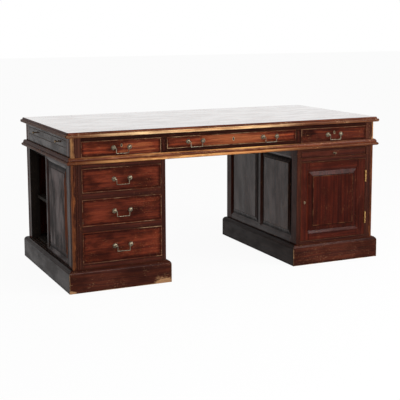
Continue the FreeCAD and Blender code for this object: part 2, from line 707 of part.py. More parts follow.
def shelves():
    """Build the left pedestal's shelf and its cleats, and turn a copy to the right pedestal."""
    low = plinth_height + floor_board + shelf_height
    cleat_z = (low - floor_board, low)
    shelf = box("shelf", (-floor_x + track * 2, -opening_inner), (half_partition, post_inner_y),
                (low, low + shelf_board))
    inner = box("shelf_cleat_inner", (-opening_inner - partition, -opening_inner),
                (half_partition + partition, post_inner_y), cleat_z)
    back = box("shelf_cleat_back", (-opening_outer, -opening_inner),
               (half_partition, half_partition + partition), cleat_z)
    parts = [shelf, inner, back]
    return parts + [turned(f"{piece.Name}_turned", piece) for piece in parts]


def tracks():
    """Build the strips that guide the left end's sliding doors, and turn a copy to the right."""
    y = (-post_inner_y, post_inner_y)
    parts = []
    for name, x in (("lip", end_x), ("ridge", ridge_x)):
        for place_name, z in (("low", (plinth_height, plinth_height + track_height)),
                              ("high", (waist_foot - track_height, waist_foot))):
            parts.append(box(f"track_{name}_{place_name}", (-x, -x + track), y, z))
    return parts + [turned(f"{piece.Name}_turned", piece) for piece in parts]


# ---------------------------------------------------------------- brass
def facets(radius, sides):
    """Return the loop of a regular polygon about the origin, with a flat at its foot."""
    step = math.tau / sides
    return [(radius * math.cos(step * (number + 0.5) - math.pi / 2),
             radius * math.sin(step * (number + 0.5) - math.pi / 2)) for number in range(sides)]


def facet_pad(owner, radius, start, length, sides=10):
    """Add a faceted round of one radius to a body, from a distance before the face at y = 0."""
    drawing = sketch(owner, "XZ_Plane", facets(radius, sides), offset=start)
    return pad(owner, drawing, length)


def handle_post():
    """Build one handle post: a bevelled rosette and a stem bored across for the bail."""
    post = body("handle_post")
    facet_pad(post, rosette_radius, 0, rosette_height)
    dress(post, "Chamfer", lambda middle, edge: near(middle.y, -rosette_height), rosette_bevel)
    facet_pad(post, stem_radius, rosette_height, stem_reach - rosette_height, sides=8)
    doc.recompute()
    bore = sketch(post, "YZ_Plane", circle(-pivot_reach, 0, bail_pin + pivot_play))
    pocket(post, bore, stem_radius * 2 + cutter_reach, both=True)
    return post


def bail():
    """Build a bail: a chamfered bar along two legs with cut corners, and a round pin at each end."""
    ring_body = body("bail_bar")
    leg = handle_span / 2 - bail_inset
    top = leg + bail_shoulder
    foot = leg - bail_bend
    path = sketch(ring_body, "XZ_Plane", [
        (-top, 0), (-leg, 0), (-leg, bail_bend - bail_drop), (-foot, -bail_drop),
        (foot, -bail_drop), (leg, bail_bend - bail_drop), (leg, 0), (top, 0)], closed=False)
    half = bail_width / 2
    small = half - bail_chamfer
    section = sketch(ring_body, "YZ_Plane", [
        (small, -half), (half, -small), (half, small), (small, half),
        (-small, half), (-half, small), (-half, -small), (-small, -half)], offset=-top)
    doc.recompute()
    sweep = ring_body.newObject("PartDesign::AdditivePipe", "bail_sweep")
    sweep.Profile = section
    sweep.Spine = path
    sweep.Transition = "Right corner"
    doc.recompute()
    reach = stem_radius * 2 + pivot_play * 2
    for start in (-top - reach, top):
        pin = sketch(ring_body, "YZ_Plane", circle(0, 0, bail_pin), offset=start)
        doc.recompute()
        pad(ring_body, pin, reach)
    return ring_body


def knob():
    """Build a slide's round knob: a neck and a ball in flat facets."""
    ball = body("slide_knob")
    facet_pad(ball, knob_radius, knob_stalk, knob_reach - knob_stalk)
    dress(ball, "Chamfer", lambda middle, edge: abs(middle.y + (knob_stalk.value + knob_reach.value) / 2) > 1,
          knob_bevel)
    facet_pad(ball, knob_neck, 0, knob_stalk, sides=8)
    return ball


def keyhole_loop(x=0, z=0):
    """Return the loop of a keyhole, as a slot with cut corners at its head."""
    x = as_size(x)
    z = as_size(z)
    half = keyhole_height / 2
    return [(x - keyhole, z - half), (x + keyhole, z - half), (x + keyhole, z + half),
            (x, z + half + keyhole), (x - keyhole, z + half)]


def long_plate(half_width, half_height):
    """Return the loop of an upright plate whose ends are rounded off in flats."""
    small = half_width / 2
    return [(-half_width, -half_height), (-small, -half_height - small), (small, -half_height - small),
            (half_width, -half_height), (half_width, half_height), (small, half_height + small),
            (-small, half_height + small), (-half_width, half_height)]


def keyhole_plate(name, width, height):
    """Build a keyhole plate with its hole, on the face at y = 0; height is its straight part."""
    plate = body(name)
    outline = long_plate(width / 2, height / 2)
    pad(plate, sketch(plate, "XZ_Plane", outline, keyhole_loop()), scutcheon_plate)
    return plate


# ---------------------------------------------------------------- drawers
def drawer(name, width, height, tray, lock_z=None):
    """Build a drawer for an opening: front, cock-bead, sides, back and bottom.

    The drawer's face is at y = 0 and its opening's lower edge at z = 0; tray is the height
    of the sides, and lock_z places the keyhole.
    """
    half = width / 2
    edge = half - drawer_gap
    inside = edge - bead_width
    foot, head = running, height - drawer_gap
    outer_loop = rectangle((-edge, edge), (foot, head))
    inner_loop = rectangle((-inside, inside), (foot + bead_width, head - bead_width))
    front = body(f"{name}_front")
    pad(front, sketch(front, "XZ_Plane", inner_loop), bead_seat, back=True)
    behind = sketch(front, "XZ_Plane", outer_loop, offset=-bead_seat)
    pad(front, behind, front_board - bead_seat, back=True)
    if lock_z is not None:
        doc.recompute()
        hole = sketch(front, "XZ_Plane", keyhole_loop(z=lock_z))
        pocket(front, hole, front_board * 2 + cutter_reach, both=True)
    bead = body(f"{name}_bead")
    pad(bead, sketch(bead, "XZ_Plane", outer_loop, inner_loop, offset=bead_reach),
        bead_reach + bead_seat, back=True)
    dress(bead, "Chamfer", lambda middle, line: near(middle.y, -bead_reach), bead_round)
    outside = half - side_play
    between = (-outside + side_board, outside - side_board)
    end = rail_depth + tray_depth
    base = foot + bottom_lift
    walls = (foot, foot + tray)
    return [front, bead,
            box(f"{name}_side_left", (-outside, between[0]), (front_board, end), walls),
            box(f"{name}_side_right", (between[1], outside), (front_board, end), walls),
            box(f"{name}_back", between, (end - side_board, end), (base + bottom_board, walls[1])),
            box(f"{name}_bottom", between, (front_board, end), (base, base + bottom_board))]


def lock(name, plate, x, z):
    """Return a keyhole plate and the lock's case behind a front, round one keyhole."""
    case = box(f"{name}_case", (-lock_width / 2, lock_width / 2), (front_board, front_board + lock_case),
               (-lock_height / 2, lock_height / 2))
    return group(f"{name}_lock", [plate, case], at=(x, 0, z))


# ---------------------------------------------------------------- slides and doors
def brushing_slide():
    """Build a brushing slide: a board with a deeper facing across its front."""
    half = opening_width / 2
    edge = half - drawer_gap
    facing = body("brushing_slide_facing")
    outline = rectangle((-edge, edge), (slide_z + running, slide_board_z + slide_board))
    pad(facing, sketch(facing, "XZ_Plane", outline), rail_depth, back=True)
    dress(facing, "Chamfer", lambda middle, line: near(middle.y, 0), slide_bevel)
    return [facing,
            box("brushing_slide_board", (side_play - half, half - side_play),
                (rail_depth, rail_depth + tray_depth), (slide_board_z, slide_board_z + slide_board))]


def end_slide():
    """Build an end slide: a board with a deeper facing across its front."""
    edge = post_inner_y - drawer_gap
    return [box("end_slide_facing", (-edge, edge), (0, rail_depth),
                (end_slide_z + running, end_board_z + slide_board)),
            box("end_slide_board", (side_play - post_inner_y, post_inner_y - side_play),
                (rail_depth, end_slide_length), (end_board_z, end_board_z + slide_board))]


def framed_door(name, x, z, thickness, member, depth, edge):
    """Build a framed door with one raised panel: two stiles, two rails and the panel."""
    inner = ((x[0] + member, x[1] - member), (z[0] + member, z[1] - member))
    cutter = chamfer_tool(f"{name}_chamfer", *inner, depth)
    y = (0, thickness)
    blanks = {"left_stile": ((x[0], inner[0][0]), z), "right_stile": ((inner[0][1], x[1]), z),
              "low_rail": (inner[0], (z[0], inner[1][0])), "top_rail": (inner[0], (inner[1][1], z[1]))}
    pieces = {part: cut(f"{name}_{part}", box(f"{name}_{part}_blank", across, y, up), cutter)
              for part, (across, up) in blanks.items()}
    pieces["panel"] = raised_panel(f"{name}_panel", *inner, depth, edge)
    return pieces


def hinge_heights():
    """Return the lower edges of the door's two hinges."""
    return (door_z + hinge_end, door_top_z - hinge_end - hinge_height)


def mortises(name, x):
    """Return the blocks that sink two hinge leaves of a face frame or a door into its edge."""
    return group(name, [box(f"{name}_{number}", x, (0, hinge_leaf), (low, low + hinge_height))
                        for number, low in enumerate(hinge_heights())])


def knuckle(name, low, height):
    """Return one knuckle of a hinge on the pivot line, in eight flats."""
    part = doc.addObject("Part::Prism", name)
    part.Polygon = 8
    bind(part, "Circumradius", knuckle_radius)
    bind(part, "Height", height)
    return place(part, pivot_x, -pivot_out, low)


def cupboard_hinges():
    """Build the two hinges: the frame's leaves with the pins, and the door's leaves."""
    frames, leaves = [], []
    edge = opening_width / 2
    door_edge = edge - drawer_gap
    third = hinge_height / 3
    tab_y = (-pivot_out, as_size(0))
    for number, low in enumerate(hinge_heights()):
        z = (low, low + hinge_height)
        frame_x = (edge, edge + hinge_plate)
        door_x = (door_edge - hinge_plate, door_edge)
        lower = (low, third - running / 2)
        upper = (low + third * 2 + running / 2, third - running / 2)
        middle = (low + third + running / 2, third - running)
        name = f"hinge_{number}"
        pin = place(cylinder(f"{name}_pin", hinge_pin, hinge_height), pivot_x, -pivot_out, low)
        frames.append(fuse(
            f"{name}_frame", box(f"{name}_frame_leaf", frame_x, (0, hinge_leaf), z), pin,
            *[knuckle(f"{name}_knuckle_{part}", *span) for part, span in enumerate((lower, upper))],
            *[box(f"{name}_tab_{part}", frame_x, tab_y, (span[0], span[0] + span[1]))
              for part, span in enumerate((lower, upper))]))
        whole = fuse(f"{name}_door_whole", box(f"{name}_door_leaf", door_x, (0, hinge_leaf), z),
                     knuckle(f"{name}_knuckle_middle", *middle),
                     box(f"{name}_tab_middle", door_x, tab_y, (middle[0], middle[0] + middle[1])))
        bore = place(cylinder(f"{name}_bore", hinge_pin + running, hinge_height),
                     pivot_x, -pivot_out, low)
        leaves.append(cut(f"{name}_door", whole, bore))
    return frames, leaves


# ---------------------------------------------------------------- the nodes
def fixed_nodes(hinge_frames):
    """Gather the pieces that never move, front and left with their turned copies."""
    cupboard_x = (opening_outer + opening_inner) / 2
    nodes = [desk_top()]

    def both_halves(name, parts):
        half = group(f"{name}_half", parts)
        nodes.append(group(name, [half, turned(f"{name}_far", half)]))

    both_halves("frieze_corner_posts", outer_posts("frieze_post", frieze_foot, frieze_height))
    both_halves("frieze_face_frames", frieze_faces())
    both_halves("frieze_end_frames", frieze_ends())
    nodes.append(group("frieze_carcase", frieze_carcase()))
    nodes.append(group("waist_moulding", waist()))
    left, right = outer_posts("pedestal_post", plinth_height, waist_foot - plinth_height)
    edge = opening_width / 2
    sunk = mortises("post_mortises", (edge, edge + hinge_plate))
    place(sunk, cupboard_x, -face_y, 0)
    inner_posts, members, panels = kneehole_side()
    both_halves("pedestal_corner_posts", [left, cut("hinged_post", right, sunk), inner_posts])
    both_halves("kneehole_side_frames", [members, panels])
    both_halves("pedestal_face_rails", pedestal_rails())
    nodes.append(group("pedestal_carcase", pedestal_carcase()))
    nodes.append(group("cupboard_shelves", shelves()))
    nodes.append(group("sliding_door_tracks", tracks()))
    nodes.append(group("plinths", plinths()))
    both_halves("cupboard_door_hinges",
                [group("hinge_frames", hinge_frames, at=(cupboard_x, -face_y, 0))])
    return nodes


def moving_nodes(hinge_leaves):
    """Build the front and left moving pieces, then turn copies of them to the rear and right."""
    nodes = []
    middle_x = (opening_outer + opening_inner) / 2
    post = handle_post()
    pair = group("handle_posts", [group("handle_post_left", [post], at=(-handle_span / 2, 0, 0)),
                                  group("handle_post_right", [post], at=(handle_span / 2, 0, 0))])
    ring_bail = bail()
    plate = keyhole_plate("keyhole_plate", scutcheon_width, scutcheon_height)
    large_plate = keyhole_plate("large_keyhole_plate", centre_scutcheon_width, centre_scutcheon_height)

    def with_copy(name, far_name, parts, at=(0, 0, 0), turn=0.0, extra=()):
        node = group(name, parts, turn=turn, at=at)
        nodes.append(node)
        for extra_name, extra_parts in extra:
            nodes.append(group(extra_name, extra_parts, turn=turn, at=at))
        far = [node] + nodes[len(nodes) - len(extra):] if extra else [node]
        nodes.append(group(far_name, far, turn=180.0))

    # Drawers: name, middle x, lower edge, pieces, handles (name, x, z) and locks
    centre_opening_height = frieze_drawer_top - centre_z
    frieze_opening_height = frieze_drawer_top - frieze_foot
    side_drawer = drawer("side_frieze", opening_width, frieze_opening_height, frieze_tray, frieze_lock)
    side_lock = [lock("side_frieze", plate, 0, frieze_lock)]
    centre_lock_z = centre_opening_height / 2
    rows = [
        ("left_frieze_drawer", -middle_x, frieze_foot, side_drawer,
         [("left_frieze_handle", 0, frieze_handle)], side_lock),
        ("centre_frieze_drawer", 0, centre_z,
         drawer("centre_frieze", centre_opening, centre_opening_height,
                centre_opening_height - side_drop, centre_lock_z),
         [("centre_left_handle", -centre_handle, centre_lock_z),
          ("centre_right_handle", centre_handle, centre_lock_z)],
         [lock("centre_frieze", large_plate, 0, centre_lock_z)]),
        ("right_frieze_drawer", middle_x, frieze_foot, side_drawer,
         [("right_frieze_handle", 0, frieze_handle)], side_lock),
    ]
    for name, low, height in (("top", top_drawer_z, top_drawer), ("middle", middle_drawer_z, middle_drawer),
                              ("bottom", bottom_drawer_z, bottom_drawer)):
        rows.append((f"{name}_pedestal_drawer", -middle_x, low,
                     drawer(f"{name}_pedestal", opening_width, height, height - side_drop),
                     [(f"{name}_pedestal_handle", 0, height / 2)], []))
    for name, x, low, pieces, handles, locks in rows:
        mounts = [group(f"{name}_{label}_posts", [pair], at=(across, 0, up)) for label, across, up in handles]
        with_copy(f"front_{name}", f"rear_{name}", pieces, at=(x, -face_y, low),
                  extra=[(f"front_{name}_mounts", mounts + locks)])
        for label, across, up in handles:
            with_copy(f"front_{label}", f"rear_{label}", [ring_bail],
                      at=(x + across, -face_y - pivot_reach, low + up))

    ball = knob()
    face = (middle_x, -face_y, 0)
    with_copy("front_brushing_slide", "rear_brushing_slide", brushing_slide(), at=face, extra=[
        ("front_brushing_slide_knob",
         [group("brushing_knob", [ball], at=(0, 0, slide_z + slide_opening / 2))])])
    half = opening_width / 2
    edge = half - drawer_gap
    door = framed_door("cupboard_door", (-edge, edge), (door_z + running, door_top_z - drawer_gap),
                       rail_depth, door_member, chamfer_depth, panel_edge)
    door["right_stile"] = cut("hinge_stile", door["right_stile"],
                              mortises("door_mortises", (edge - hinge_plate, edge)))
    keyhole_x = door_lock_in - half
    bore = body("door_keyhole")
    pad(bore, sketch(bore, "XZ_Plane", keyhole_loop(keyhole_x, door_z + door_lock)),
        rail_depth * 2 + cutter_reach, both=True)
    door["left_stile"] = cut("lock_stile", door["left_stile"], bore)
    case = box("door_lock_case", (keyhole_x - lock_height / 2, keyhole_x + lock_height / 2),
               (rail_depth, rail_depth + lock_case),
               (door_z + door_lock - lock_width / 2, door_z + door_lock + lock_width / 2))
    door_plate = group("door_plate", [plate], at=(keyhole_x, 0, door_z + door_lock))
    nodes.append(group("front_cupboard_door", list(door.values()), at=face))
    nodes.append(group("front_cupboard_door_brass", hinge_leaves + [door_plate, case], at=face))
    nodes.append(turned("rear_cupboard_door", nodes[-2]))
    nodes.append(turned("rear_cupboard_door_brass", nodes[-2]))
    knobs = [group(f"end_knob_{side}", [ball], at=(along, 0, end_slide_z + end_slide_height / 2))
             for side, along in (("rear", -end_knob), ("front", end_knob))]
    with_copy("left_end_slide", "right_end_slide", end_slide(), at=(-end_x, 0, 0), turn=-90.0,
              extra=[("left_end_slide_knobs", knobs)])
    parked = post_inner_y - drawer_gap
    doors = framed_door("sliding_door", (parked - end_door_length, parked),
                        (plinth_height + running, waist_foot - running),
                        end_door, end_door_member, thin_chamfer_depth, thin_panel_edge)
    for label, x in (("outer", outer_door_x), ("inner", inner_door_x)):
        with_copy(f"left_{label}_sliding_door", f"right_{label}_sliding_door", list(doors.values()),
                  at=(-x, 0, 0), turn=-90.0)
    return nodes


def check_document():
    """Stop where any object failed or holds no valid shape."""
    for thing in doc.Objects:
        if "Invalid" in thing.State or "Error" in thing.State:
            raise RuntimeError(f"{thing.Name} is {thing.State}")
        if thing.TypeId.startswith(("Part::", "PartDesign::")) and hasattr(thing, "Shape"):
            if thing.Shape.isNull() or not thing.Shape.isValid():
                raise RuntimeError(f"{thing.Name} holds no valid shape")


hinge_frames, hinge_leaves = cupboard_hinges()
nodes = fixed_nodes(hinge_frames) + moving_nodes(hinge_leaves)
doc.recompute()
check_document()
os.makedirs("parts", exist_ok=True)
for node in nodes:
    node.Label = node.Name
    node.Shape.exportStep(f"parts/{node.Name}.step")
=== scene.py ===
"""Looks of a mahogany partners desk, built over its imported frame.

Every length is in metres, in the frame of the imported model: X runs along the desk, the
front is at -Y, and Z is up from the floor. The rear and the right-hand end repeat the front
and the left-hand end, turned half round about Z.
"""

import json
import logging
import math
from dataclasses import dataclass, replace
from enum import Enum
from typing import Callable, Optional, Union

import bmesh
import bpy
import numpy as np
from mathutils import Matrix, Vector

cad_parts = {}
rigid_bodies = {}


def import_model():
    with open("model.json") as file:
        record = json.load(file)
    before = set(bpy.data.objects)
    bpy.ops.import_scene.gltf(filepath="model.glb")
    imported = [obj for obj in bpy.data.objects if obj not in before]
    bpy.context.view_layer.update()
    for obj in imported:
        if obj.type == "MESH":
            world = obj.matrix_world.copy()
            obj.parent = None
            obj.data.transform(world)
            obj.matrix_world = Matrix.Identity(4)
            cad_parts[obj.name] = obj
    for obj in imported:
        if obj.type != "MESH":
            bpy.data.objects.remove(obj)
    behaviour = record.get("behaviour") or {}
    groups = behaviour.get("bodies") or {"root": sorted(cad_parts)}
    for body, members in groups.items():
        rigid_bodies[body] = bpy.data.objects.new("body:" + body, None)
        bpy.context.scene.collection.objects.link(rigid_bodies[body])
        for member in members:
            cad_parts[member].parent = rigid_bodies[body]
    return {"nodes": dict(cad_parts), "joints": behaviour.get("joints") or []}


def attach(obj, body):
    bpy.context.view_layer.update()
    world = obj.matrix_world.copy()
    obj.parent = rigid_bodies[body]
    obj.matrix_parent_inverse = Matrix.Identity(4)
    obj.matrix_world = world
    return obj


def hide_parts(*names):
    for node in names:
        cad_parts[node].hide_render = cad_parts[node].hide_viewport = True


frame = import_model()

Array = np.ndarray
Triple = tuple[float, float, float]
Range = tuple[float, float]
Spot = tuple[float, float, float, float]
Input = Union["Value", float, Triple]

log = logging.getLogger("partners_desk")


class Slot(Enum):
    """Material slots of the record."""

    MAHOGANY = "mahogany"
    CARCASE_WOOD = "carcase_wood"
    BRASS = "brass"


# ------------------------------------------------------------------ node graphs
RISING: Range = (0.0, 1.0)
FALLING: Range = (1.0, 0.0)


def math_method(operation: str) -> Callable[..., "Value"]:
    """Return a method that adds a Math node of one operation to a value's graph."""
    return lambda value, *others: value.graph.math(operation, value, *others)


class Value:
    """What an output socket carries. Arithmetic on it adds Math nodes to its graph.

    Args:
        graph: The graph it is in.
        socket: The output socket.
    """

    __add__ = math_method("ADD")
    __sub__ = math_method("SUBTRACT")
    __mul__ = math_method("MULTIPLY")
    __abs__ = math_method("ABSOLUTE")
    least = math_method("MINIMUM")
    most = math_method("MAXIMUM")

    def __init__(self, graph: "Graph", socket: bpy.types.NodeSocket) -> None:
        """Keep the graph and the socket."""
        self.graph = graph
        self.socket = socket

    def rest(self) -> "Value":
        """Return what is missing to 1."""
        return self.graph.math("SUBTRACT", 1.0, self)


class Graph:
    """The node tree of a material, of the world or of a node group, written call by call."""

    def __init__(self, tree: bpy.types.NodeTree) -> None:
        """Keep the tree."""
        self.tree = tree

    def node(self, kind: str, *values: Input, **settings: object) -> bpy.types.Node:
        """Add a node.

        Args:
            kind: The node's type, without the leading "ShaderNode".
            values: What its first inputs take.
            settings: Properties to set on it.

        Returns:
            The new node.
        """
        made = self.tree.nodes.new(kind if kind.startswith("NodeGroup") else f"ShaderNode{kind}")
        for name, value in settings.items():
            setattr(made, name, value)
        for socket, value in zip(made.inputs, values):
            self.feed(socket, value)
        return made

    def read(self, kind: str, output: Union[int, str], *values: Input, **settings: object) -> Value:
        """Add a node and return one of its outputs."""
        return Value(self, self.node(kind, *values, **settings).outputs[output])

    def feed(self, socket: bpy.types.NodeSocket, value: Input) -> None:
        """Link an input socket to a value, or set its constant."""
        if isinstance(value, Value):
            self.tree.links.new(value.socket, socket)
        elif isinstance(value, tuple) and socket.type == "RGBA":
            socket.default_value = (*value, 1.0)
        else:
            socket.default_value = value

    def math(self, operation: str, *values: Input) -> Value:
        """Add a Math node and return its value."""
        return self.read("Math", 0, *values, operation=operation)

    def vector(self, operation: str, *values: Input) -> Value:
        """Add a Vector Math node and return its vector."""
        return self.read("VectorMath", 0, *values, operation=operation)

    def join(self, *axes: Input) -> Value:
        """Return a vector of three numbers."""
        return self.read("CombineXYZ", 0, *axes)

    def split(self, vector: Value) -> list[Value]:
        """Return a vector's three numbers."""
        return [Value(self, output) for output in self.node("SeparateXYZ", vector).outputs]

    def blend(self, share: Input, first: Input, second: Input) -> Value:
        """Return the first colour, and as large a share of the second as is given."""
        made = self.node("Mix", share, data_type="RGBA", clamp_factor=True)
        self.feed(made.inputs[6], first)
        self.feed(made.inputs[7], second)
        return Value(self, made.outputs[2])

    def spread(self, value: Input, low: Input, high: Input, to: Range = RISING) -> Value:
        """Carry a value smoothly from one range to another, held at both ends."""
        return self.read("MapRange", 0, value, low, high, *to, interpolation_type="SMOOTHSTEP",
                         clamp=True)

    def noise(self, place: Value, scale: Union[float, Triple], detail: float,
              roughness: float = 0.6) -> Value:
        """Return 3-D noise of a place that is first scaled, along each axis or along all."""
        made = self.node("TexNoise", self.vector(
            "MULTIPLY", place, scale if isinstance(scale, tuple) else (scale,) * 3),
            noise_dimensions="3D")
        for label, value in (("Scale", 1.0), ("Detail", detail), ("Roughness", roughness)):
            made.inputs[label].default_value = value
        return Value(self, made.outputs["Fac"])

    def patches(self, place: Value, scale: Union[float, Triple], kept: Range, detail: float,
                roughness: float = 0.6, to: Range = RISING) -> Value:
        """Return noise of a place, smoothly carried from its kept range to another."""
        return self.spread(self.noise(place, scale, detail, roughness), *kept, to)


class Group(Graph):
    """A shader node group in the making. Its outputs are numbers.

    Args:
        name: The group's name.
        vectors: Its inputs that are vectors, parted by spaces.
        numbers: Its inputs that are numbers.
        gives: Its outputs.
    """

    def __init__(self, name: str, vectors: str, numbers: str, gives: str) -> None:
        """Make the group with its sockets."""
        super().__init__(bpy.data.node_groups.new(name, "ShaderNodeTree"))
        for labels, way, kind in ((vectors, "INPUT", "Vector"), (numbers, "INPUT", "Float"),
                                  (gives, "OUTPUT", "Float")):
            for label in labels.split():
                self.tree.interface.new_socket(label, in_out=way, socket_type=f"NodeSocket{kind}")
        source = self.node("NodeGroupInput").outputs
        self.takes = [Value(self, source[label]) for label in f"{vectors} {numbers}".split()]
        self.sink = self.node("NodeGroupOutput")

    def give(self, **values: Value) -> bpy.types.NodeTree:
        """Feed the outputs by name, and return the finished tree."""
        for label, value in values.items():
            self.feed(self.sink.inputs[label], value)
        return self.tree


def graph_of(owner: Union[bpy.types.Material, bpy.types.World]) -> Graph:
    """Return the graph of a material or of the world."""
    owner.use_nodes = True
    return Graph(owner.node_tree)


class Effects:
    """The shader node groups that the finishes share, each built once."""

    def __init__(self) -> None:
        """Build the groups."""
        self.grain = self._grain()
        self.arris = self._arris()
        self.marks = self._marks()

    @staticmethod
    def _grain() -> bpy.types.NodeTree:
        """Build the figure of sawn wood.

        Figure is broad streaks drawn out along x and bent by slow noise, Fibre is the same
        far finer, and Pores are short dark dashes.
        """
        group = Group("wood_grain", "Place", "Length Width", "Figure Fibre Pores")
        place, length, width = group.takes
        along = group.math("DIVIDE", 1.0, length)
        across = group.math("DIVIDE", 1.0, width)
        bend = group.noise(place, (2.0, 9.0, 9.0), 1.0, 0.55)
        bent = group.vector("ADD", group.vector("MULTIPLY", place, group.join(along, across, across)),
                            group.join(0.0, bend * 2.2, bend * -1.6))
        return group.give(Figure=group.patches(bent, 1.0, (0.33, 0.67), 4.0),
                          Fibre=group.patches(bent, (1.6, 7.0, 7.0), (0.3, 0.7), 2.0),
                          Pores=group.patches(bent, (6.0, 34.0, 34.0), (0.60, 0.72), 1.0, 0.5))

    @staticmethod
    def _arris() -> bpy.types.NodeTree:
        """Build the closeness to a board's arrises.

        A board's surface lies on one side of its box, so the middle one of its three
        distances to the nearest sides of that box is its distance to the nearest arris.
        At a Nose of 1 it is the distance to the nearest upright side instead, so that what
        stands out furthest is rubbed. Noise roughens the distance. Worn is 1 within Reach,
        less where Broken leaves it whole in places, and Near, which sets the painted shade
        and grime, fades over the wider Rim. Away is the plain distance to the nearest arris.
        """
        group = Group("arris_wear", "Low High Place", "Reach Rim Rough Broken Nose",
                      "Worn Near Away")
        low, high, place, reach, rim, rough, broken, nose = group.takes
        a, b, c = group.split(group.vector("MINIMUM", low, high))
        upright = a.least(b)
        arris = upright.most(a.most(b).least(c))
        away = arris + nose * (upright - arris)
        ragged = group.noise(place, (26.0, 90.0, 90.0), 3.0) - 0.5
        patchy = group.noise(place, (5.0, 11.0, 11.0), 2.0, 0.5) - 0.5
        wide = reach * (patchy * rough + 1.0)
        kept = broken * group.patches(place, (7.0, 16.0, 16.0), (0.40, 0.56), 3.0, 0.65, FALLING)
        worn = group.spread(away + ragged * rough * reach, wide * 0.15, wide, FALLING)
        return group.give(Worn=kept.rest() * worn, Away=arris,
                          Near=group.spread(away + ragged * rim, 0.0, rim, FALLING))

    @staticmethod
    def _marks() -> bpy.types.NodeTree:
        """Build the marks of long use: clouds, sparse short scratches, specks and dust."""
        group = Group("marks_of_use", "Place Object", "", "Smudge Scratch Speck Dust")
        place, own = group.takes
        scratched = group.patches(own, 19.0, (0.55, 0.68), 1.0, 0.5)
        scratches = group.patches(place, (60.0, 420.0, 420.0), (0.62, 0.70), 2.0, 0.5)
        specked = group.patches(own, 8.0, (0.44, 0.60), 2.0)
        specks = group.patches(own, (170.0, 170.0, 230.0), (0.64, 0.71), 1.0, 0.5)
        return group.give(Smudge=group.patches(place, (6.0, 14.0, 14.0), (0.36, 0.66), 4.0),
                          Scratch=scratches * scratched, Speck=specked * specks,
                          Dust=group.patches(own, 240.0, (0.45, 0.7), 2.0))


# ------------------------------------------------------------------ finishes
@dataclass(frozen=True)
class WoodFinish:
    """How one kind of the desk's woodwork is finished. Colours are linear.

    Args:
        dark: The figure's dark streaks, the pores, and the painted shade and grime.
        body: The middle colour.
        bright: The figure's light streaks.
        worn: Bared wood.
        half: Half-worn streaks in it, if they aren't a darker worn colour.
        wear: How far a worn arris is bared.
        reach: How wide it is.
        rough: How ragged its edge is.
        broken: How far the wear comes and goes along an arris.
        bare: How much of the varnish goes where the wood is worn.
        rim: How wide the painted shade and grime beside the arrises are; they darken recesses
            and corners as shade would.
        soot: How dark they are.
        cloud: How dark the smudges are.
        length: The figure's length.
        width: The figure's width.
        fibre: The strength of the fine fibre.
        polish: The roughness of the wood.
        under: Its refractive index.
        film: The roughness of the varnish over it.
        coat: The strength of the varnish, which soot and wear take away.
        gloss: The varnish's refractive index.
        scratch: The strength of the scratches.
        speck: The strength of the specks.
        bump: The depth of the grain.
        nose: Whether the parts that stand out are rubbed, and not the arrises.
        step: How far a raised field's shoulder lies from the arris, if there is one.
        rub: How far the wear keeps to the middle of the desk's length.
        bald: Bared spots, and painted lit streaks, each a place and a radius.
        shape: The scale of their distances along each axis.
        flame: The colour of the light streaks in the painted sheen.
        glow: Spots of painted sheen, where the figure glows, each a place and a radius.
        ends: How dark the painted shade on the desk's two ends is, past the corners' mitres.
    """

    dark: Triple = (0.0085, 0.0022, 0.0016)
    body: Triple = (0.084, 0.0112, 0.0047)
    bright: Triple = (0.196, 0.0310, 0.0100)
    worn: Triple = (0.36, 0.165, 0.068)
    half: Optional[Triple] = None
    wear: float = 0.75
    reach: float = 0.0026
    rough: float = 1.5
    broken: float = 0.4
    bare: float = 0.85
    rim: float = 0.016
    soot: float = 0.45
    cloud: float = 0.4
    length: float = 0.34
    width: float = 0.011
    fibre: float = 0.35
    polish: float = 0.36
    under: float = 1.04
    film: float = 0.2
    coat: float = 0.4
    gloss: float = 1.3
    scratch: float = 0.35
    speck: float = 0.3
    bump: float = 0.04
    nose: bool = False
    step: float = 0.0
    rub: float = 0.0
    bald: tuple[Spot, ...] = ()
    shape: Triple = (1.0, 1.0, 1.7)
    flame: Triple = (0.46, 0.165, 0.060)
    glow: tuple[Spot, ...] = ()
    ends: float = 0.0


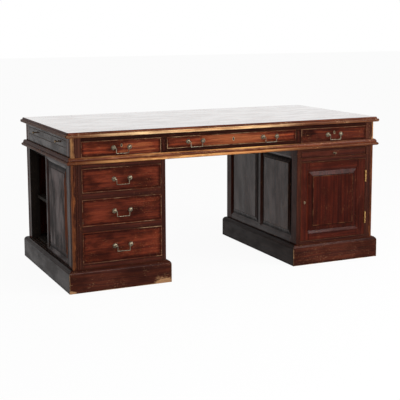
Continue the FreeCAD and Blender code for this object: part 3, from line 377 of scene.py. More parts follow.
class Wood(Enum):
    """The desk's wood finishes."""

    FRONT = WoodFinish(
        bright=(0.178, 0.029, 0.0098), wear=0.25, reach=0.002, soot=0.9, rim=0.034, cloud=0.8,
        width=0.013)
    # Frieze drawers, with spots of painted sheen
    FRIEZE = replace(
        FRONT, body=(0.11, 0.0145, 0.0056), bright=(0.29, 0.048, 0.0145), rim=0.026, width=0.01,
        fibre=0.6, flame=(0.33, 0.094, 0.032),
        glow=((-0.52, -0.417, 0.68, 0.05), (0.02, -0.417, 0.7, 0.115)))
    DEEP = replace(
        FRONT, body=(0.06, 0.0084, 0.0038), bright=(0.15, 0.025, 0.008), rim=0.03, cloud=0.9,
        width=0.01, fibre=0.6)
    BEAD = WoodFinish(
        body=(0.058, 0.0098, 0.0044), bright=(0.135, 0.026, 0.009), worn=(0.48, 0.3, 0.165),
        wear=0.8, reach=0.003, rough=2.2, broken=1.0, soot=0.25, rim=0.004, coat=0.2, rub=0.7,
        bump=0.02)
    RAIL = WoodFinish(
        body=(0.029, 0.005, 0.0029), bright=(0.072, 0.0134, 0.0058), wear=0.15, soot=0.6, rim=0.01,
        speck=0.15)
    # Painted shadow under the top's overhang: the frieze rails are dark, with wide painted shade at
    # their arrises
    FRIEZE_RAIL = WoodFinish(
        body=(0.034, 0.0056, 0.003), bright=(0.084, 0.015, 0.006), wear=0.12, soot=0.9, rim=0.034,
        speck=0.1)
    FRIEZE_POST = WoodFinish(
        body=(0.036, 0.008, 0.0042), bright=(0.09, 0.022, 0.0088), worn=(0.56, 0.3, 0.12),
        half=(0.3, 0.12, 0.042), wear=0.95, reach=0.021, rough=1.6, broken=0.3, soot=0.35,
        rim=0.008, coat=0.6, width=0.004, bare=0.3)
    PEDESTAL_POST = replace(
        FRIEZE_POST, body=(0.022, 0.0044, 0.0024), bright=(0.06, 0.0135, 0.0056),
        worn=(0.31, 0.105, 0.032), half=(0.115, 0.028, 0.0098), wear=0.9, reach=0.019, broken=0.35,
        coat=0.45)
    # Its ends value paints shade on the desk's two ends, past the mitres; the top's edge takes it too
    MOULDING = WoodFinish(
        body=(0.074, 0.0135, 0.0054), bright=(0.185, 0.042, 0.013), worn=(0.78, 0.42, 0.15),
        half=(0.34, 0.105, 0.032), wear=0.9, reach=0.006, rough=0.8, soot=0.5, rim=0.003, coat=0.38,
        nose=True, rub=1.0, bump=0.02, bare=0.4, width=0.006, ends=0.62)
    # The top's edge: its pale worn colour is partly wear and partly a painted highlight
    TOP_EDGE = replace(
        MOULDING, bright=(0.195, 0.045, 0.0138), worn=(0.92, 0.63, 0.33), half=(0.4, 0.14, 0.044),
        reach=0.007, broken=0.3, rim=0.002)
    TOP = WoodFinish(
        body=(0.12, 0.032, 0.012), bright=(0.23, 0.072, 0.024), worn=(0.64, 0.34, 0.11), wear=0.6,
        reach=0.006, rough=2.6, broken=0.8, soot=0.1, cloud=0.1, length=0.7, width=0.016, coat=1.0,
        polish=0.15, film=0.06, under=1.5, gloss=1.5, rub=1.0, bump=0.02, scratch=0.2, speck=0.0)
    PLINTH = WoodFinish(
        body=(0.039, 0.0074, 0.0038), bright=(0.09, 0.0185, 0.0074), worn=(0.37, 0.2, 0.098),
        wear=0.85, reach=0.004, rough=2.8, broken=0.75, soot=0.7, rim=0.024, cloud=0.6, scratch=0.5,
        bald=((-0.4, -0.431, 0.006, 0.056), (-0.876, -0.431, 0.004, 0.024)))
    # Painted shade: the plinths' sides are a darker, greyer copy of the plinth
    PLINTH_SIDE = WoodFinish(
        dark=(0.006, 0.0034, 0.0027), body=(0.015, 0.0064, 0.0048), bright=(0.03, 0.013, 0.009),
        worn=(0.3, 0.16, 0.08), wear=0.4, rough=2.8, broken=0.85, soot=0.6, rim=0.02, cloud=0.5,
        scratch=0.15, speck=0.05, coat=0.36, bump=0.0)
    DOOR = WoodFinish(
        body=(0.034, 0.0044, 0.0021), bright=(0.078, 0.0105, 0.0038), wear=0.3, reach=0.0018,
        soot=0.6, rim=0.008, cloud=0.5, speck=0.1, coat=0.32)
    FIELD = WoodFinish(
        body=(0.023, 0.0029, 0.0014), bright=(0.06, 0.0074, 0.0028), wear=0.0, soot=0.95, rim=0.008,
        length=0.5, coat=0.24, step=0.026, scratch=0.2, speck=0.08)
    # Painted shade: the desk's ends take darker, greyer copies of the wood
    END_RAIL = WoodFinish(
        dark=(0.006, 0.0034, 0.0027), body=(0.02, 0.0076, 0.0056), bright=(0.04, 0.016, 0.0106),
        wear=0.25, reach=0.0018, soot=0.7, rim=0.006, cloud=0.5, length=0.5, coat=0.58, bump=0.0,
        speck=0.0)
    END_FRAME = replace(
        END_RAIL, dark=(0.006, 0.0028, 0.0022), body=(0.022, 0.0066, 0.0044),
        bright=(0.046, 0.014, 0.0086), cloud=0.8, coat=0.42)
    # Its worn colour and its spot paint a lit streak on the panel's front-facing bevel
    END_FIELD = replace(
        END_FRAME, dark=(0.005, 0.0026, 0.002), body=(0.028, 0.0062, 0.0035),
        bright=(0.07, 0.015, 0.007), worn=(0.18, 0.046, 0.015), wear=0.0, soot=1.0, rim=0.046,
        cloud=0.9, step=0.026, bald=((-0.857, -0.3, 0.372, 0.026),), shape=(1.0, 1.0, 0.11))
    # Painted shade: the kneehole's sides take darker, greyer copies of the wood, with deep painted
    # shade round their fields
    KNEE_FRAME = replace(
        END_RAIL, dark=(0.006, 0.0032, 0.0026), body=(0.026, 0.0086, 0.0062),
        bright=(0.052, 0.018, 0.012), wear=0.2, soot=0.5, cloud=0.4, coat=0.8)
    KNEE_FIELD = replace(
        KNEE_FRAME, dark=(0.005, 0.003, 0.0024), body=(0.034, 0.012, 0.0085),
        bright=(0.066, 0.024, 0.016), wear=0.0, soot=1.0, rim=0.038, coat=1.0, step=0.026)
    LINING = WoodFinish(
        dark=(0.085, 0.042, 0.02), body=(0.21, 0.115, 0.053), bright=(0.31, 0.19, 0.095),
        worn=(0.4, 0.27, 0.15), wear=0.4, soot=0.35, polish=0.62, coat=0.0, under=1.3, width=0.007,
        bump=0.2)
    # Painted shade: the carcase's inside is near black, as the shade within it
    INSIDE = WoodFinish(
        dark=(0.003, 0.002, 0.0016), body=(0.007, 0.0042, 0.003), bright=(0.015, 0.009, 0.006),
        worn=(0.1, 0.066, 0.044), wear=0.2, soot=0.6, polish=0.7, coat=0.0, under=1.2, width=0.009,
        bump=0.2)


@dataclass(frozen=True)
class BrassFinish:
    """How one kind of the desk's brass is finished. Colours are linear.

    Args:
        clean: Where it is touched.
        aged: In clouds.
        dull: In specks.
        polish: Its roughness.
        metal: How metallic it looks.
    """

    clean: Triple = (0.42, 0.32, 0.16)
    aged: Triple = (0.22, 0.16, 0.08)
    dull: Triple = (0.070, 0.058, 0.040)
    polish: float = 0.5
    metal: float = 0.85


class Brass(Enum):
    """The desk's brass finishes."""

    BOSS = BrassFinish((0.23, 0.190, 0.128), (0.080, 0.062, 0.041), (0.026, 0.021, 0.015), 0.22)
    BAIL = BrassFinish((0.25, 0.210, 0.145), (0.075, 0.059, 0.040), (0.027, 0.022, 0.016), 0.26)
    HINGE = BrassFinish((0.40, 0.225, 0.065), (0.22, 0.110, 0.030), (0.080, 0.042, 0.016), 0.5, 0.5)
    KNOB = BrassFinish((0.22, 0.150, 0.085), (0.036, 0.026, 0.018), (0.015, 0.012, 0.009), 0.24)
    RING = BrassFinish((0.46, 0.35, 0.19), (0.28, 0.205, 0.105), (0.13, 0.090, 0.052), 0.4, 0.6)
    # A near-black dome that paints the shade in a keyhole
    HOLE = BrassFinish((0.008, 0.006, 0.005), (0.005, 0.004, 0.003), (0.003, 0.002, 0.002), 0.7, 0.0)
    LOCK = BrassFinish()


@dataclass(frozen=True)
class Patina:
    """What the finishes share. Lengths are distances from an arris or along an axis.

    Args:
        pores: The strength of the pores.
        quirk: The shadow at a raised field's shoulder: its distance past the shoulder, the
            range in which it fades, and how dark it is.
        crest: The rubbed line inside the shoulder, partly wear and partly a painted highlight:
            its distance and the range in which it fades.
        crest_wear: How far that line is bared, from its least to its most.
        mitre: How much longer the desk's top is than it is deep, from the middle.
        blur: How sharp the turn to the painted shade of the desk's ends is.
        rubbed: The middle of the rubbed part of the desk's length, the range in which the
            wear fades, and what is left of it.
        glow_shape: The scale of a painted sheen spot's distances along each axis.
        glow_soot: How much of the painted shade and grime a painted sheen spot takes away.
        streak: The brightness of the streaks in bared wood.
        smudge: How much rougher smudges are.
        worn: How much rougher bared wood is.
        dirt: How much of the varnish the painted shade and grime take away.
        depth: The height that the grain's bump stands for.
        relief: How high the figure stands and how deep the scratches go, beside the pores.
        spot: A spot's strength, the share of its radius that has it, and how ragged it is.
        clouds: The scale of the clouds on brass.
        stretch: That of its smudges.
        dust: The strength of its dull specks.
        breath: How much rougher smudges are on it.
        pits: The strength of its bump, and the height that it stands for.
    """

    pores: float = 0.55
    quirk: tuple[float, Range, float] = (-0.0012, (0.0014, 0.0032), 0.9)
    crest: tuple[float, Range] = (0.0016, (0.0006, 0.0022))
    crest_wear: Range = (0.02, 0.3)
    mitre: float = 0.451
    blur: float = 0.001
    rubbed: tuple[float, Range, float] = (-0.20, (0.28, 0.66), 0.06)
    glow_shape: Triple = (0.45, 1.0, 1.0)
    glow_soot: float = 0.8
    streak: float = 0.55
    smudge: float = 0.10
    worn: float = 0.12
    dirt: float = 0.85
    depth: float = 0.0006
    relief: Range = (0.4, 1.5)
    spot: Triple = (0.95, 0.6, 2.2)
    clouds: float = 130.0
    stretch: float = 9.0
    dust: float = 0.55
    breath: float = 0.22
    pits: Range = (0.12, 0.0003)


class Finisher:
    """Makes each finish's material once.

    Args:
        effects: The shared shader node groups.
        patina: What the finishes share.
    """

    def __init__(self, effects: Effects, patina: Patina = Patina()) -> None:
        """Keep the groups and start with no materials."""
        self.effects = effects
        self.patina = patina
        self.made: dict[Enum, bpy.types.Material] = {}

    def material(self, kind: Enum) -> bpy.types.Material:
        """Return a finish's material, built at its first use."""
        if kind not in self.made:
            made = bpy.data.materials.new(f"{type(kind).__name__.lower()}_{kind.name.lower()}")
            build = self._wood if isinstance(kind, Wood) else self._brass
            build(graph_of(made), made.node_tree.nodes["Principled BSDF"].inputs, kind.value)
            self.made[kind] = made
        return self.made[kind]

    @staticmethod
    def _group(graph: Graph, tree: bpy.types.NodeTree, **values: Input) -> dict[str, Value]:
        """Place a shared group with its own values and return its outputs by name."""
        made = graph.node("Group", node_tree=tree)
        for label, value in values.items():
            graph.feed(made.inputs[label], value)
        return {socket.name: Value(graph, socket) for socket in made.outputs}

    @staticmethod
    def _bump(graph: Graph, shader: bpy.types.NodeInputs, height: Value, strength: float,
              depth: float) -> None:
        """Raise the surface by a height."""
        bump = graph.node("Bump")
        bump.inputs["Strength"].default_value = strength
        bump.inputs["Distance"].default_value = depth
        graph.feed(bump.inputs["Height"], height)
        graph.feed(shader["Normal"], Value(graph, bump.outputs[0]))

    def _near(self, graph: Graph, own: Value, place: Value, spot: Spot, shape: Triple) -> Value:
        """Return the strength of a spot, which fades raggedly to 0 at its radius."""
        *middle, radius = spot
        most, core, rag = self.patina.spot
        away = graph.read("VectorMath", "Value", graph.vector("MULTIPLY", own, shape),
                          tuple(m * s for m, s in zip(middle, shape)), operation="DISTANCE")
        ragged = (graph.noise(place, (14.0, 60.0, 60.0), 4.0, 0.7) - 0.5) * (rag * radius)
        return graph.spread(away + ragged, core * radius, radius, (most, 0.0))

    def _wood(self, graph: Graph, shader: bpy.types.NodeInputs, finish: WoodFinish) -> None:
        """Build polished or bare wood.

        The figure mixes the dark, body and bright colours, painted shade and grime gather
        near the arrises, and past them the arrises are rubbed through to the worn colour.
        Painted shade also darkens a field's quirk and the desk's ends, and spots of painted
        sheen brighten the figure.

        Args:
            graph: The material's graph.
            shader: The inputs of its Principled BSDF.
            finish: The finish.
        """
        patina = self.patina
        place, low, high, outer_low, outer_high = (
            graph.read("Attribute", "Vector", attribute_name=label) for label in LAYERS)
        own = graph.read("TexCoord", "Object")
        x, y, _ = graph.split(own)
        edges = {"Place": place, "Reach": finish.reach, "Rim": finish.rim, "Rough": finish.rough,
                 "Broken": finish.broken, "Nose": float(finish.nose)}
        grain = self._group(graph, self.effects.grain, Place=place, Length=finish.length,
                            Width=finish.width)
        board = self._group(graph, self.effects.arris, Low=low, High=high, **edges)
        whole = self._group(graph, self.effects.arris, Low=outer_low, High=outer_high, **edges)
        marks = self._group(graph, self.effects.marks, Place=place, Object=own)
        colour = graph.blend(grain["Figure"], finish.body, finish.bright)
        # Painted shade and grime: darker near each board's arrises, as shade gathers in recesses and
        # corners, and in random smudges
        soot = (board["Near"] * finish.soot).most(marks["Smudge"] * finish.cloud)
        worn = whole["Worn"] * finish.wear
        # Painted sheen: in given spots the figure's light streaks glow and the painted shade lifts
        for spot in finish.glow:
            glow = self._near(graph, own, place, spot, patina.glow_shape)
            colour = graph.blend(glow * grain["Figure"], colour, finish.flame)
            soot = soot * (glow * patina.glow_soot).rest()
        colour = graph.blend(grain["Fibre"] * finish.fibre, colour, finish.dark)
        colour = graph.blend(grain["Pores"] * patina.pores, colour, finish.dark)
        # A painted shadow in the quirk at a raised field's shoulder, and inside it a rubbed line that
        # is partly wear and partly a painted highlight
        if finish.step:
            past = board["Away"] - finish.step
            at, fade, strength = patina.quirk
            soot = soot.most(graph.spread(abs(past - at), *fade, (strength, 0.0)))
            at, fade = patina.crest
            worn = worn.most(graph.spread(abs(past - at), *fade, FALLING) * graph.patches(
                own, 19.0, (0.46, 0.62), 3.0, to=patina.crest_wear))
        # Painted shade on the desk's two ends, past the corners' mitres
        if finish.ends:
            soot = soot.most(graph.spread(abs(x) - abs(y), patina.mitre - patina.blur,
                                          patina.mitre + patina.blur, (0.0, finish.ends)))
        # The painted shade and grime darken the colour
        colour = graph.blend(soot, colour, finish.dark)
        if finish.rub:
            at, fade, left = patina.rubbed
            facing = x * graph.math("SIGN", y * -1.0)
            worn = worn * (graph.spread(abs(facing - at), *fade, (1.0, left)) * finish.rub
                           + (1.0 - finish.rub))
        # Bared spots, and painted lit streaks where light catches a bevel
        for spot in finish.bald:
            worn = worn.most(self._near(graph, own, place, spot, finish.shape))
        light = (graph.blend(grain["Figure"], finish.half, finish.worn) if finish.half else
                 graph.blend(grain["Fibre"], finish.worn,
                             tuple(patina.streak * part for part in finish.worn)))
        colour = graph.blend(worn, colour, light)
        flecks = (marks["Scratch"] * finish.scratch).most(marks["Speck"] * finish.speck)
        graph.feed(shader["Base Color"], graph.blend(flecks, colour, finish.worn))
        graph.feed(shader["Roughness"],
                   marks["Smudge"] * patina.smudge + worn * patina.worn + finish.polish)
        shader["IOR"].default_value = finish.under
        shader["Coat IOR"].default_value = finish.gloss
        shader["Coat Roughness"].default_value = finish.film
        if finish.coat:
            # The varnish is lost where the wood is worn and under the painted shade and grime
            lost = (worn * finish.bare).most(soot * patina.dirt)
            graph.feed(shader["Coat Weight"], lost.rest() * finish.coat)
        rise, cut = patina.relief
        height = grain["Figure"] * rise - grain["Pores"] - marks["Scratch"] * cut
        self._bump(graph, shader, height, finish.bump, patina.depth)

    def _brass(self, graph: Graph, shader: bpy.types.NodeInputs, finish: BrassFinish) -> None:
        """Build aged brass: clean where it is touched, dull in clouds and specks."""
        patina = self.patina
        own = graph.read("TexCoord", "Object")
        marks = self._group(graph, self.effects.marks, Object=own,
                            Place=graph.vector("MULTIPLY", own, (patina.stretch,) * 3))
        clouds = graph.patches(own, patina.clouds, (0.38, 0.66), 3.0)
        colour = graph.blend(clouds, finish.clean, finish.aged)
        graph.feed(shader["Base Color"],
                   graph.blend(marks["Dust"] * patina.dust, colour, finish.dull))
        graph.feed(shader["Roughness"], marks["Smudge"] * patina.breath + finish.polish)
        shader["Metallic"].default_value = finish.metal
        self._bump(graph, shader, marks["Dust"], *patina.pits)


# ------------------------------------------------------------------ dressed woodwork
# Corners closer than this are one; least cosines of what is level and of what is straight
MERGE = 1e-6
LEVEL = 0.999
STRAIGHT = 0.99
LAYERS = ("grain_place", "low", "high", "outer_low", "outer_high")


def fetch(items: bpy.types.bpy_prop_collection, name: str, width: int,
          kind: type = np.float32) -> Array:
    """Return a property of each of a mesh's items, one row each."""
    values = np.empty(len(items) * width, kind)
    items.foreach_get(name, values)
    return values.reshape(-1, width)


def store(items: bpy.types.bpy_prop_collection, name: str, values: Array,
          kind: type = np.float32) -> None:
    """Set a property of each of a mesh's items."""
    items.foreach_set(name, values.astype(kind).ravel())


@dataclass
class Board:
    """One solid of a CAD node: its merged corners and its triangles."""

    corners: Array
    faces: Array

    @property
    def low(self) -> Array:
        """Return the lowest corner of its box."""
        return self.corners.min(0)

    @property
    def high(self) -> Array:
        """Return the highest corner of its box."""
        return self.corners.max(0)

    @property
    def span(self) -> Array:
        """Return its box's three lengths."""
        return self.high - self.low


def boards_of(node: bpy.types.Object) -> list[Board]:
    """Split a CAD node's loose triangles into its closed solids.

    Corners at one place are merged. Each edge then pairs with the next unused edge that
    runs the other way, which belongs to the same solid, and a solid ends at the triangle
    that no later triangle's edges are paired across.

    Args:
        node: The CAD node's object.

    Returns:
        Its solids, in order.
    """
    points = fetch(node.data.vertices, "co", 3).astype(float)
    node.data.calc_loop_triangles()
    corners = fetch(node.data.loop_triangles, "vertices", 3, np.int32)
    _, first, merged = np.unique(np.round(points / MERGE).astype(np.int64), axis=0,
                                 return_index=True, return_inverse=True)
    faces = merged.ravel()[corners]
    faces = faces[(faces != np.roll(faces, 1, axis=1)).all(1)]
    start, finish = faces.ravel(), np.roll(faces, -1, axis=1).ravel()
    owner = np.repeat(np.arange(len(faces)), 3)
    partner = np.empty(len(start), np.int64)
    partner[np.argsort(start * len(first) + finish, kind="stable")] = owner[
        np.argsort(finish * len(first) + start, kind="stable")]
    reach = np.maximum.accumulate(partner.reshape(-1, 3).max(1))
    ends = np.flatnonzero(reach <= np.arange(len(faces))) + 1
    found = []
    for part in np.split(faces, ends[:-1]):
        used, local = np.unique(part, return_inverse=True)
        found.append(Board(points[first[used]], local.reshape(-1, 3)))
    return found


@dataclass(frozen=True)
class Easing:
    """How a board's arrises are eased.

    Args:
        width: The easing's width.
        segments: Its runs.
        flush: The greatest angle between faces that are one flat face.
        sharp: The least angle of an arris.
        slight: The least angle of an arris between two broad faces.
        flat: The least width of a broad face.
        share: The most that an easing takes of a board's least length.
        room: The least length of an eased arris, in easings.
    """

    width: float = 0.0009
    segments: int = 2
    flush: float = math.radians(0.4)
    sharp: float = math.radians(28.0)
    slight: float = math.radians(4.0)
    flat: float = 0.009
    share: float = 0.12
    room: float = 3.0


def leans(_middle: Array, facing: Array) -> Array:
    """Return which faces aren't level and upward."""
    return facing[:, 2] < LEVEL


def faces_in(middle: Array, facing: Array) -> Array:
    """Return which faces look straight along Y at the desk's middle."""
    return (np.abs(facing[:, 1]) > STRAIGHT) & (middle[:, 1] * facing[:, 1] < 0.0)


Regrade = tuple[Wood, Callable[[Array, Array], Array]]


class Rub(Enum):
    """Which arrises of its boards' common box a piece is rubbed at."""

    ALL = 0.0
    UPRIGHT = 1.0


class Joiner:
    """Turns CAD woodwork into eased, grained and finished woodwork.

    Args:
        finisher: Gives the materials.
        easing: How the arrises are eased.
        seed: Seeds the place of each board in the log.
        log_reach: How far from its middle a board is taken out of the log.
    """

    def __init__(self, finisher: Finisher, easing: Easing = Easing(), seed: int = 11,
                 log_reach: float = 4.0) -> None:
        """Keep the finisher and the easing."""
        self.finisher = finisher
        self.easing = easing
        self.log_reach = log_reach
        self.random = np.random.default_rng(seed)

    def _eased(self, board: Board) -> bpy.types.Mesh:
        """Merge a board's flat faces, ease its outer arrises and return its mesh."""
        easing = self.easing
        width = min(easing.width, float(board.span.min()) * easing.share)
        mesh = bpy.data.meshes.new("board")
        mesh.from_pydata(board.corners.tolist(), [], board.faces.tolist())
        work = bmesh.new()
        work.from_mesh(mesh)
        bmesh.ops.dissolve_limit(work, angle_limit=easing.flush, verts=work.verts,
                                 edges=work.edges, use_dissolve_boundaries=False)
        broad = {face for face in work.faces if face.calc_area() > easing.flat * max(
            edge.calc_length() for edge in face.edges)}
        for edge in work.edges:
            limit = easing.slight if broad.issuperset(edge.link_faces) else easing.sharp
            edge.smooth = edge.calc_face_angle(0.0) < limit
        picked = [edge for edge in work.edges if not edge.smooth and edge.is_convex
                  and edge.calc_length() > width * easing.room]
        if picked:
            made = bmesh.ops.bevel(work, geom=picked, offset=width, offset_type="OFFSET",
                                   segments=easing.segments, profile=0.5, affect="EDGES",
                                   clamp_overlap=True, material=-1)
            for edge in made["edges"]:
                edge.smooth = True
        work.to_mesh(mesh)
        work.free()
        return mesh

    def _grade(self, mesh: bpy.types.Mesh, board: Board, box: tuple[Array, Array]) -> None:
        """Lay the grain along a board, and measure how far its corners lie from two boxes.

        Args:
            mesh: The board's mesh, which takes the layers.
            board: The board, whose box is the first one.
            box: The lowest and highest corner of the box at whose arrises it is rubbed.
        """
        corners = fetch(mesh.vertices, "co", 3).astype(float)
        within = corners - board.low
        along = within[:, np.argsort(-board.span, kind="stable")]
        place = self.random.uniform(-self.log_reach, self.log_reach, 3)
        for label, values in zip(LAYERS, (along + place, within, board.high - corners,
                                          corners - box[0], box[1] - corners)):
            store(mesh.attributes.new(label, "FLOAT_VECTOR", "POINT").data, "vector", values)

    def dress(self, names: tuple[str, ...], piece: str, body: str, slot: Slot,
              finish: Callable[[Board], Optional[Enum]], rub: Optional[Rub] = None,
              second: Optional[Regrade] = None) -> Optional[bpy.types.Object]:
        """Build one finished piece that stands for CAD nodes.

        Each board's grain runs along its longest side, from its own place in the log.

        Args:
            names: The CAD nodes.
            piece: The new piece's name.
            body: The body it rides on.
            slot: The record's material slot. It is not used.
            finish: Gives a board's finish, or None for one that another piece stands for.
            rub: Which arrises are rubbed, if not those of each board.
            second: A finish, and how to tell from their middles and directions which
                faces take it.

        Returns:
            The piece, or None where no board was left.
        """
        boards = [board for name in names for board in boards_of(frame["nodes"][name])]
        beyond = (0.0, 0.0, rub.value if rub else 0.0)
        common = (np.min([board.low for board in boards], 0) - beyond,
                  np.max([board.high for board in boards], 0) + beyond)
        kinds: list[Enum] = []
        whole = bmesh.new()
        for board in boards:
            kind = finish(board)
            if kind is None:
                continue
            if kind not in kinds:
                kinds.append(kind)
            part = self._eased(board)
            self._grade(part, board, common if rub else (board.low, board.high))
            store(part.polygons, "material_index",
                  np.full(len(part.polygons), kinds.index(kind)), np.int32)
            whole.from_mesh(part)
            bpy.data.meshes.remove(part)
        if not kinds:
            whole.free()
            return None
        mesh = bpy.data.meshes.new(piece)
        whole.to_mesh(mesh)
        whole.free()
        store(mesh.polygons, "use_smooth", np.ones(len(mesh.polygons)), bool)
        if second:
            kinds.append(second[0])
            chosen = second[1](fetch(mesh.polygons, "center", 3), fetch(mesh.polygons, "normal", 3))
            store(mesh.polygons, "material_index", chosen * (len(kinds) - 1), np.int32)
        for kind in kinds:
            mesh.materials.append(self.finisher.material(kind))
        made = add(piece, mesh)
        made.modifiers.new("even_shading", "WEIGHTED_NORMAL").keep_sharp = True
        return settle(made, body, names)


def add(name: str, data: bpy.types.ID) -> bpy.types.Object:
    """Put an object into the scene."""
    made = bpy.data.objects.new(name, data)
    bpy.context.scene.collection.objects.link(made)
    return made


def settle(made: bpy.types.Object, body: str, stands_for: tuple[str, ...] = ()
           ) -> bpy.types.Object:
    """Put a finished piece on its body.

    Args:
        made: The piece, in place.
        body: The body it rides on.
        stands_for: The CAD nodes that it replaces.

    Returns:
        The piece.
    """
    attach(made, body)
    if stands_for:
        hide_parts(*stands_for)
    log.info("%s: %d faces on %s", made.name, len(made.data.polygons), body)
    return made


# ------------------------------------------------------------------ brass
def circle(points: int) -> Array:
    """Return angles that go once round in even steps."""
    return np.linspace(0.0, math.tau, points, endpoint=False)


def tube(grid: Array, ring: bool = False) -> list[list[int]]:
    """Return the faces over a grid of points.

    Each point joins the next one round its row and the same one of the next row, and the
    rows close on themselves.

    Args:
        grid: Points, by row, by place round the row, by axis.
        ring: Whether the last row joins the first one; otherwise both end rows are capped.

    Returns:
        The faces, as places in the grid's list of points.
    """
    rows, columns = grid.shape[:2]
    here = np.arange(rows * columns).reshape(rows, columns)
    beside = np.roll(here, -1, axis=1)
    stop = rows if ring else rows - 1
    quads = np.stack([here[:stop], beside[:stop], np.roll(beside, -1, axis=0)[:stop],
                      np.roll(here, -1, axis=0)[:stop]], axis=-1).reshape(-1, 4).tolist()
    return quads if ring else [*quads, here[0, ::-1].tolist(), here[-1].tolist()]


def turned_grid(radius: Array, reach: Array, sides: int = 32, ribs: Union[Array, float] = 0.0,
                lobes: int = 0) -> Array:
    """Turn a profile about the line that runs out of a face, which is -Y.

    x is the radius times the cosine of the angle, z the radius times its sine, and y is
    less the reach. Ribs swell the radius by a share times the cosine of lobes times the
    angle.

    Args:
        radius: The profile's radius, row by row.
        reach: How far each row lies before the face.
        sides: Points round a row.
        ribs: The swelling's share, row by row.
        lobes: How many ribs there are.

    Returns:
        The grid of points.
    """
    angle = circle(sides)
    swelling = np.broadcast_to(ribs, radius.shape)[:, None] * np.cos(lobes * angle)
    across = radius[:, None] * (1.0 + swelling)
    return np.stack([across * np.cos(angle), np.broadcast_to(-reach[:, None], across.shape),
                     across * np.sin(angle)], axis=-1)


def placed(points: Array, at: Triple, turn: float) -> Array:
    """Turn points about Z by an angle in radians, and then carry them to a place."""
    c, s = math.cos(turn), math.sin(turn)
    return points @ np.array([[c, s, 0.0], [-s, c, 0.0], [0.0, 0.0, 1.0]]) + np.array(at)


def rounded_line(corners: Array, radius: float, steps: int = 6) -> tuple[Array, Array]:
    """Round the inner corners of a flat line with arcs.

    An arc's centre lies on its corner's bisector, and its points are the centre plus the
    radius in directions that go evenly from one run's normal to the next one's.

    Args:
        corners: The line's corners in its plane.
        radius: The arcs' radius.
        steps: Runs in each arc.

    Returns:
        The line's points, and its unit direction at each.
    """
    runs = np.diff(corners, axis=0)
    runs /= np.linalg.norm(runs, axis=1)[:, None]
    heading = np.unwrap(np.arctan2(runs[:, 1], runs[:, 0]))
    bend = np.diff(heading)[:, None]
    begin = corners[1:-1] - runs[:-1] * radius * np.tan(np.abs(bend) / 2)
    angle = heading[:-1, None] + bend * np.linspace(0.0, 1.0, steps + 1)
    side = np.sign(bend)
    centre = begin + np.stack([-np.sin(heading[:-1]), np.cos(heading[:-1])], axis=-1) * side * radius
    arc = centre[:, None] + radius * np.stack([side * np.sin(angle), -side * np.cos(angle)], axis=-1)
    ahead = np.stack([np.cos(angle), np.sin(angle)], axis=-1)
    return (np.concatenate([corners[:1], arc.reshape(-1, 2), corners[-1:]]),
            np.concatenate([runs[:1], ahead.reshape(-1, 2), runs[-1:]]))


@dataclass(frozen=True)
class DrawerHandle:
    """A bail handle on two domed and fluted bosses.

    Args:
        span: Between the bosses' middles.
        boss: A boss's radius.
        rim: The reach of its rim.
        groove: The radius, as a share of the boss's, and the reach of the groove inside it.
        swell: The dome's radius, as a share of the boss's.
        foot: The reach of its dome's foot.
        dome: The reach of its dome.
        top: Up to which angle the dome goes.
        lobes: The flutes round it.
        flute: Their share of its radius.
        neck: The radius of the post's neck.
        collar: How far it lies before the dome.
        ball: The radius of the post's ball, which the bail turns in.
        pivot: The reach of the ball's middle.
        reach: The reach of the post.
        bar: The bail's radius.
        pin: The radius of its pivot ends.
        taper: How far the bar takes to narrow to them.
        inset: How far its legs stand in from the posts.
        shoulder: The reach of its bar beyond the legs.
        drop: Its drop below the pivot line.
        bend: The radius of its bends.
    """

    span: float = 0.082
    boss: float = 0.0122
    rim: float = 0.0011
    groove: Range = (0.93, 0.0016)
    swell: float = 0.95
    foot: float = 0.0018
    dome: float = 0.0092
    top: float = math.radians(70.0)
    lobes: int = 9
    flute: float = 0.055
    neck: float = 0.0038
    collar: float = 0.0004
    ball: float = 0.0043
    pivot: float = 0.0148
    reach: float = 0.0190
    bar: float = 0.00195
    pin: float = 0.0016
    taper: float = 0.0001
    inset: float = 0.009
    shoulder: float = 0.0044
    drop: float = 0.027
    bend: float = 0.0034

    def boss_grid(self) -> Array:
        """Return one boss and its post.

        A thin rim is followed by a quarter of an ellipse, whose flutes fade towards its top,
        then by the neck, and then by the ball, whose radius follows a circle in the reach.
        """
        dome = np.linspace(0.0, self.top, 14)
        ball = np.linspace(-0.6, 1.0, 12) * math.pi / 2
        inner, step = self.groove
        radius = np.concatenate([
            self.boss * np.array([0.0, 1.0, 1.0, inner]), self.boss * self.swell * np.cos(dome),
            [self.neck], self.ball * np.cos(ball)])
        reach = np.concatenate([
            [0.0, 0.0, self.rim, step], self.foot + (self.dome - self.foot) * np.sin(dome),
            [self.dome + self.collar], self.pivot + (self.reach - self.pivot) * np.sin(ball)])
        ribs = np.concatenate([
            np.zeros(4), self.flute * np.cos(dome) ** 0.5, np.zeros(1 + len(ball))])
        return turned_grid(radius, reach, 54, ribs, self.lobes)

    def bail_grid(self) -> Array:
        """Return the bail: a round bar along a line of two shoulders, two legs and a foot."""
        leg = self.span / 2 - self.inset
        top = leg + self.shoulder
        line = np.array([(-top, 0.0), (-leg, 0.0), (-leg, -self.drop), (leg, -self.drop), (leg, 0.0),
                         (top, 0.0)])
        points, ahead = rounded_line(line, self.bend)
        ends = np.array([(self.span / 2, 0.0), (top + self.taper, 0.0)])
        points = np.concatenate([-ends, points, ends[::-1]])
        ahead = np.concatenate([ahead[:1], ahead[:1], ahead, ahead[-1:], ahead[-1:]])
        thick = np.full((len(points), 1), self.bar)
        thick[[0, 1, -2, -1]] = self.pin
        angle = circle(14)
        side = thick * np.cos(angle)
        return np.stack([points[:, :1] - ahead[:, 1:] * side, -self.pivot + thick * np.sin(angle),
                         points[:, 1:] + ahead[:, :1] * side], axis=-1)


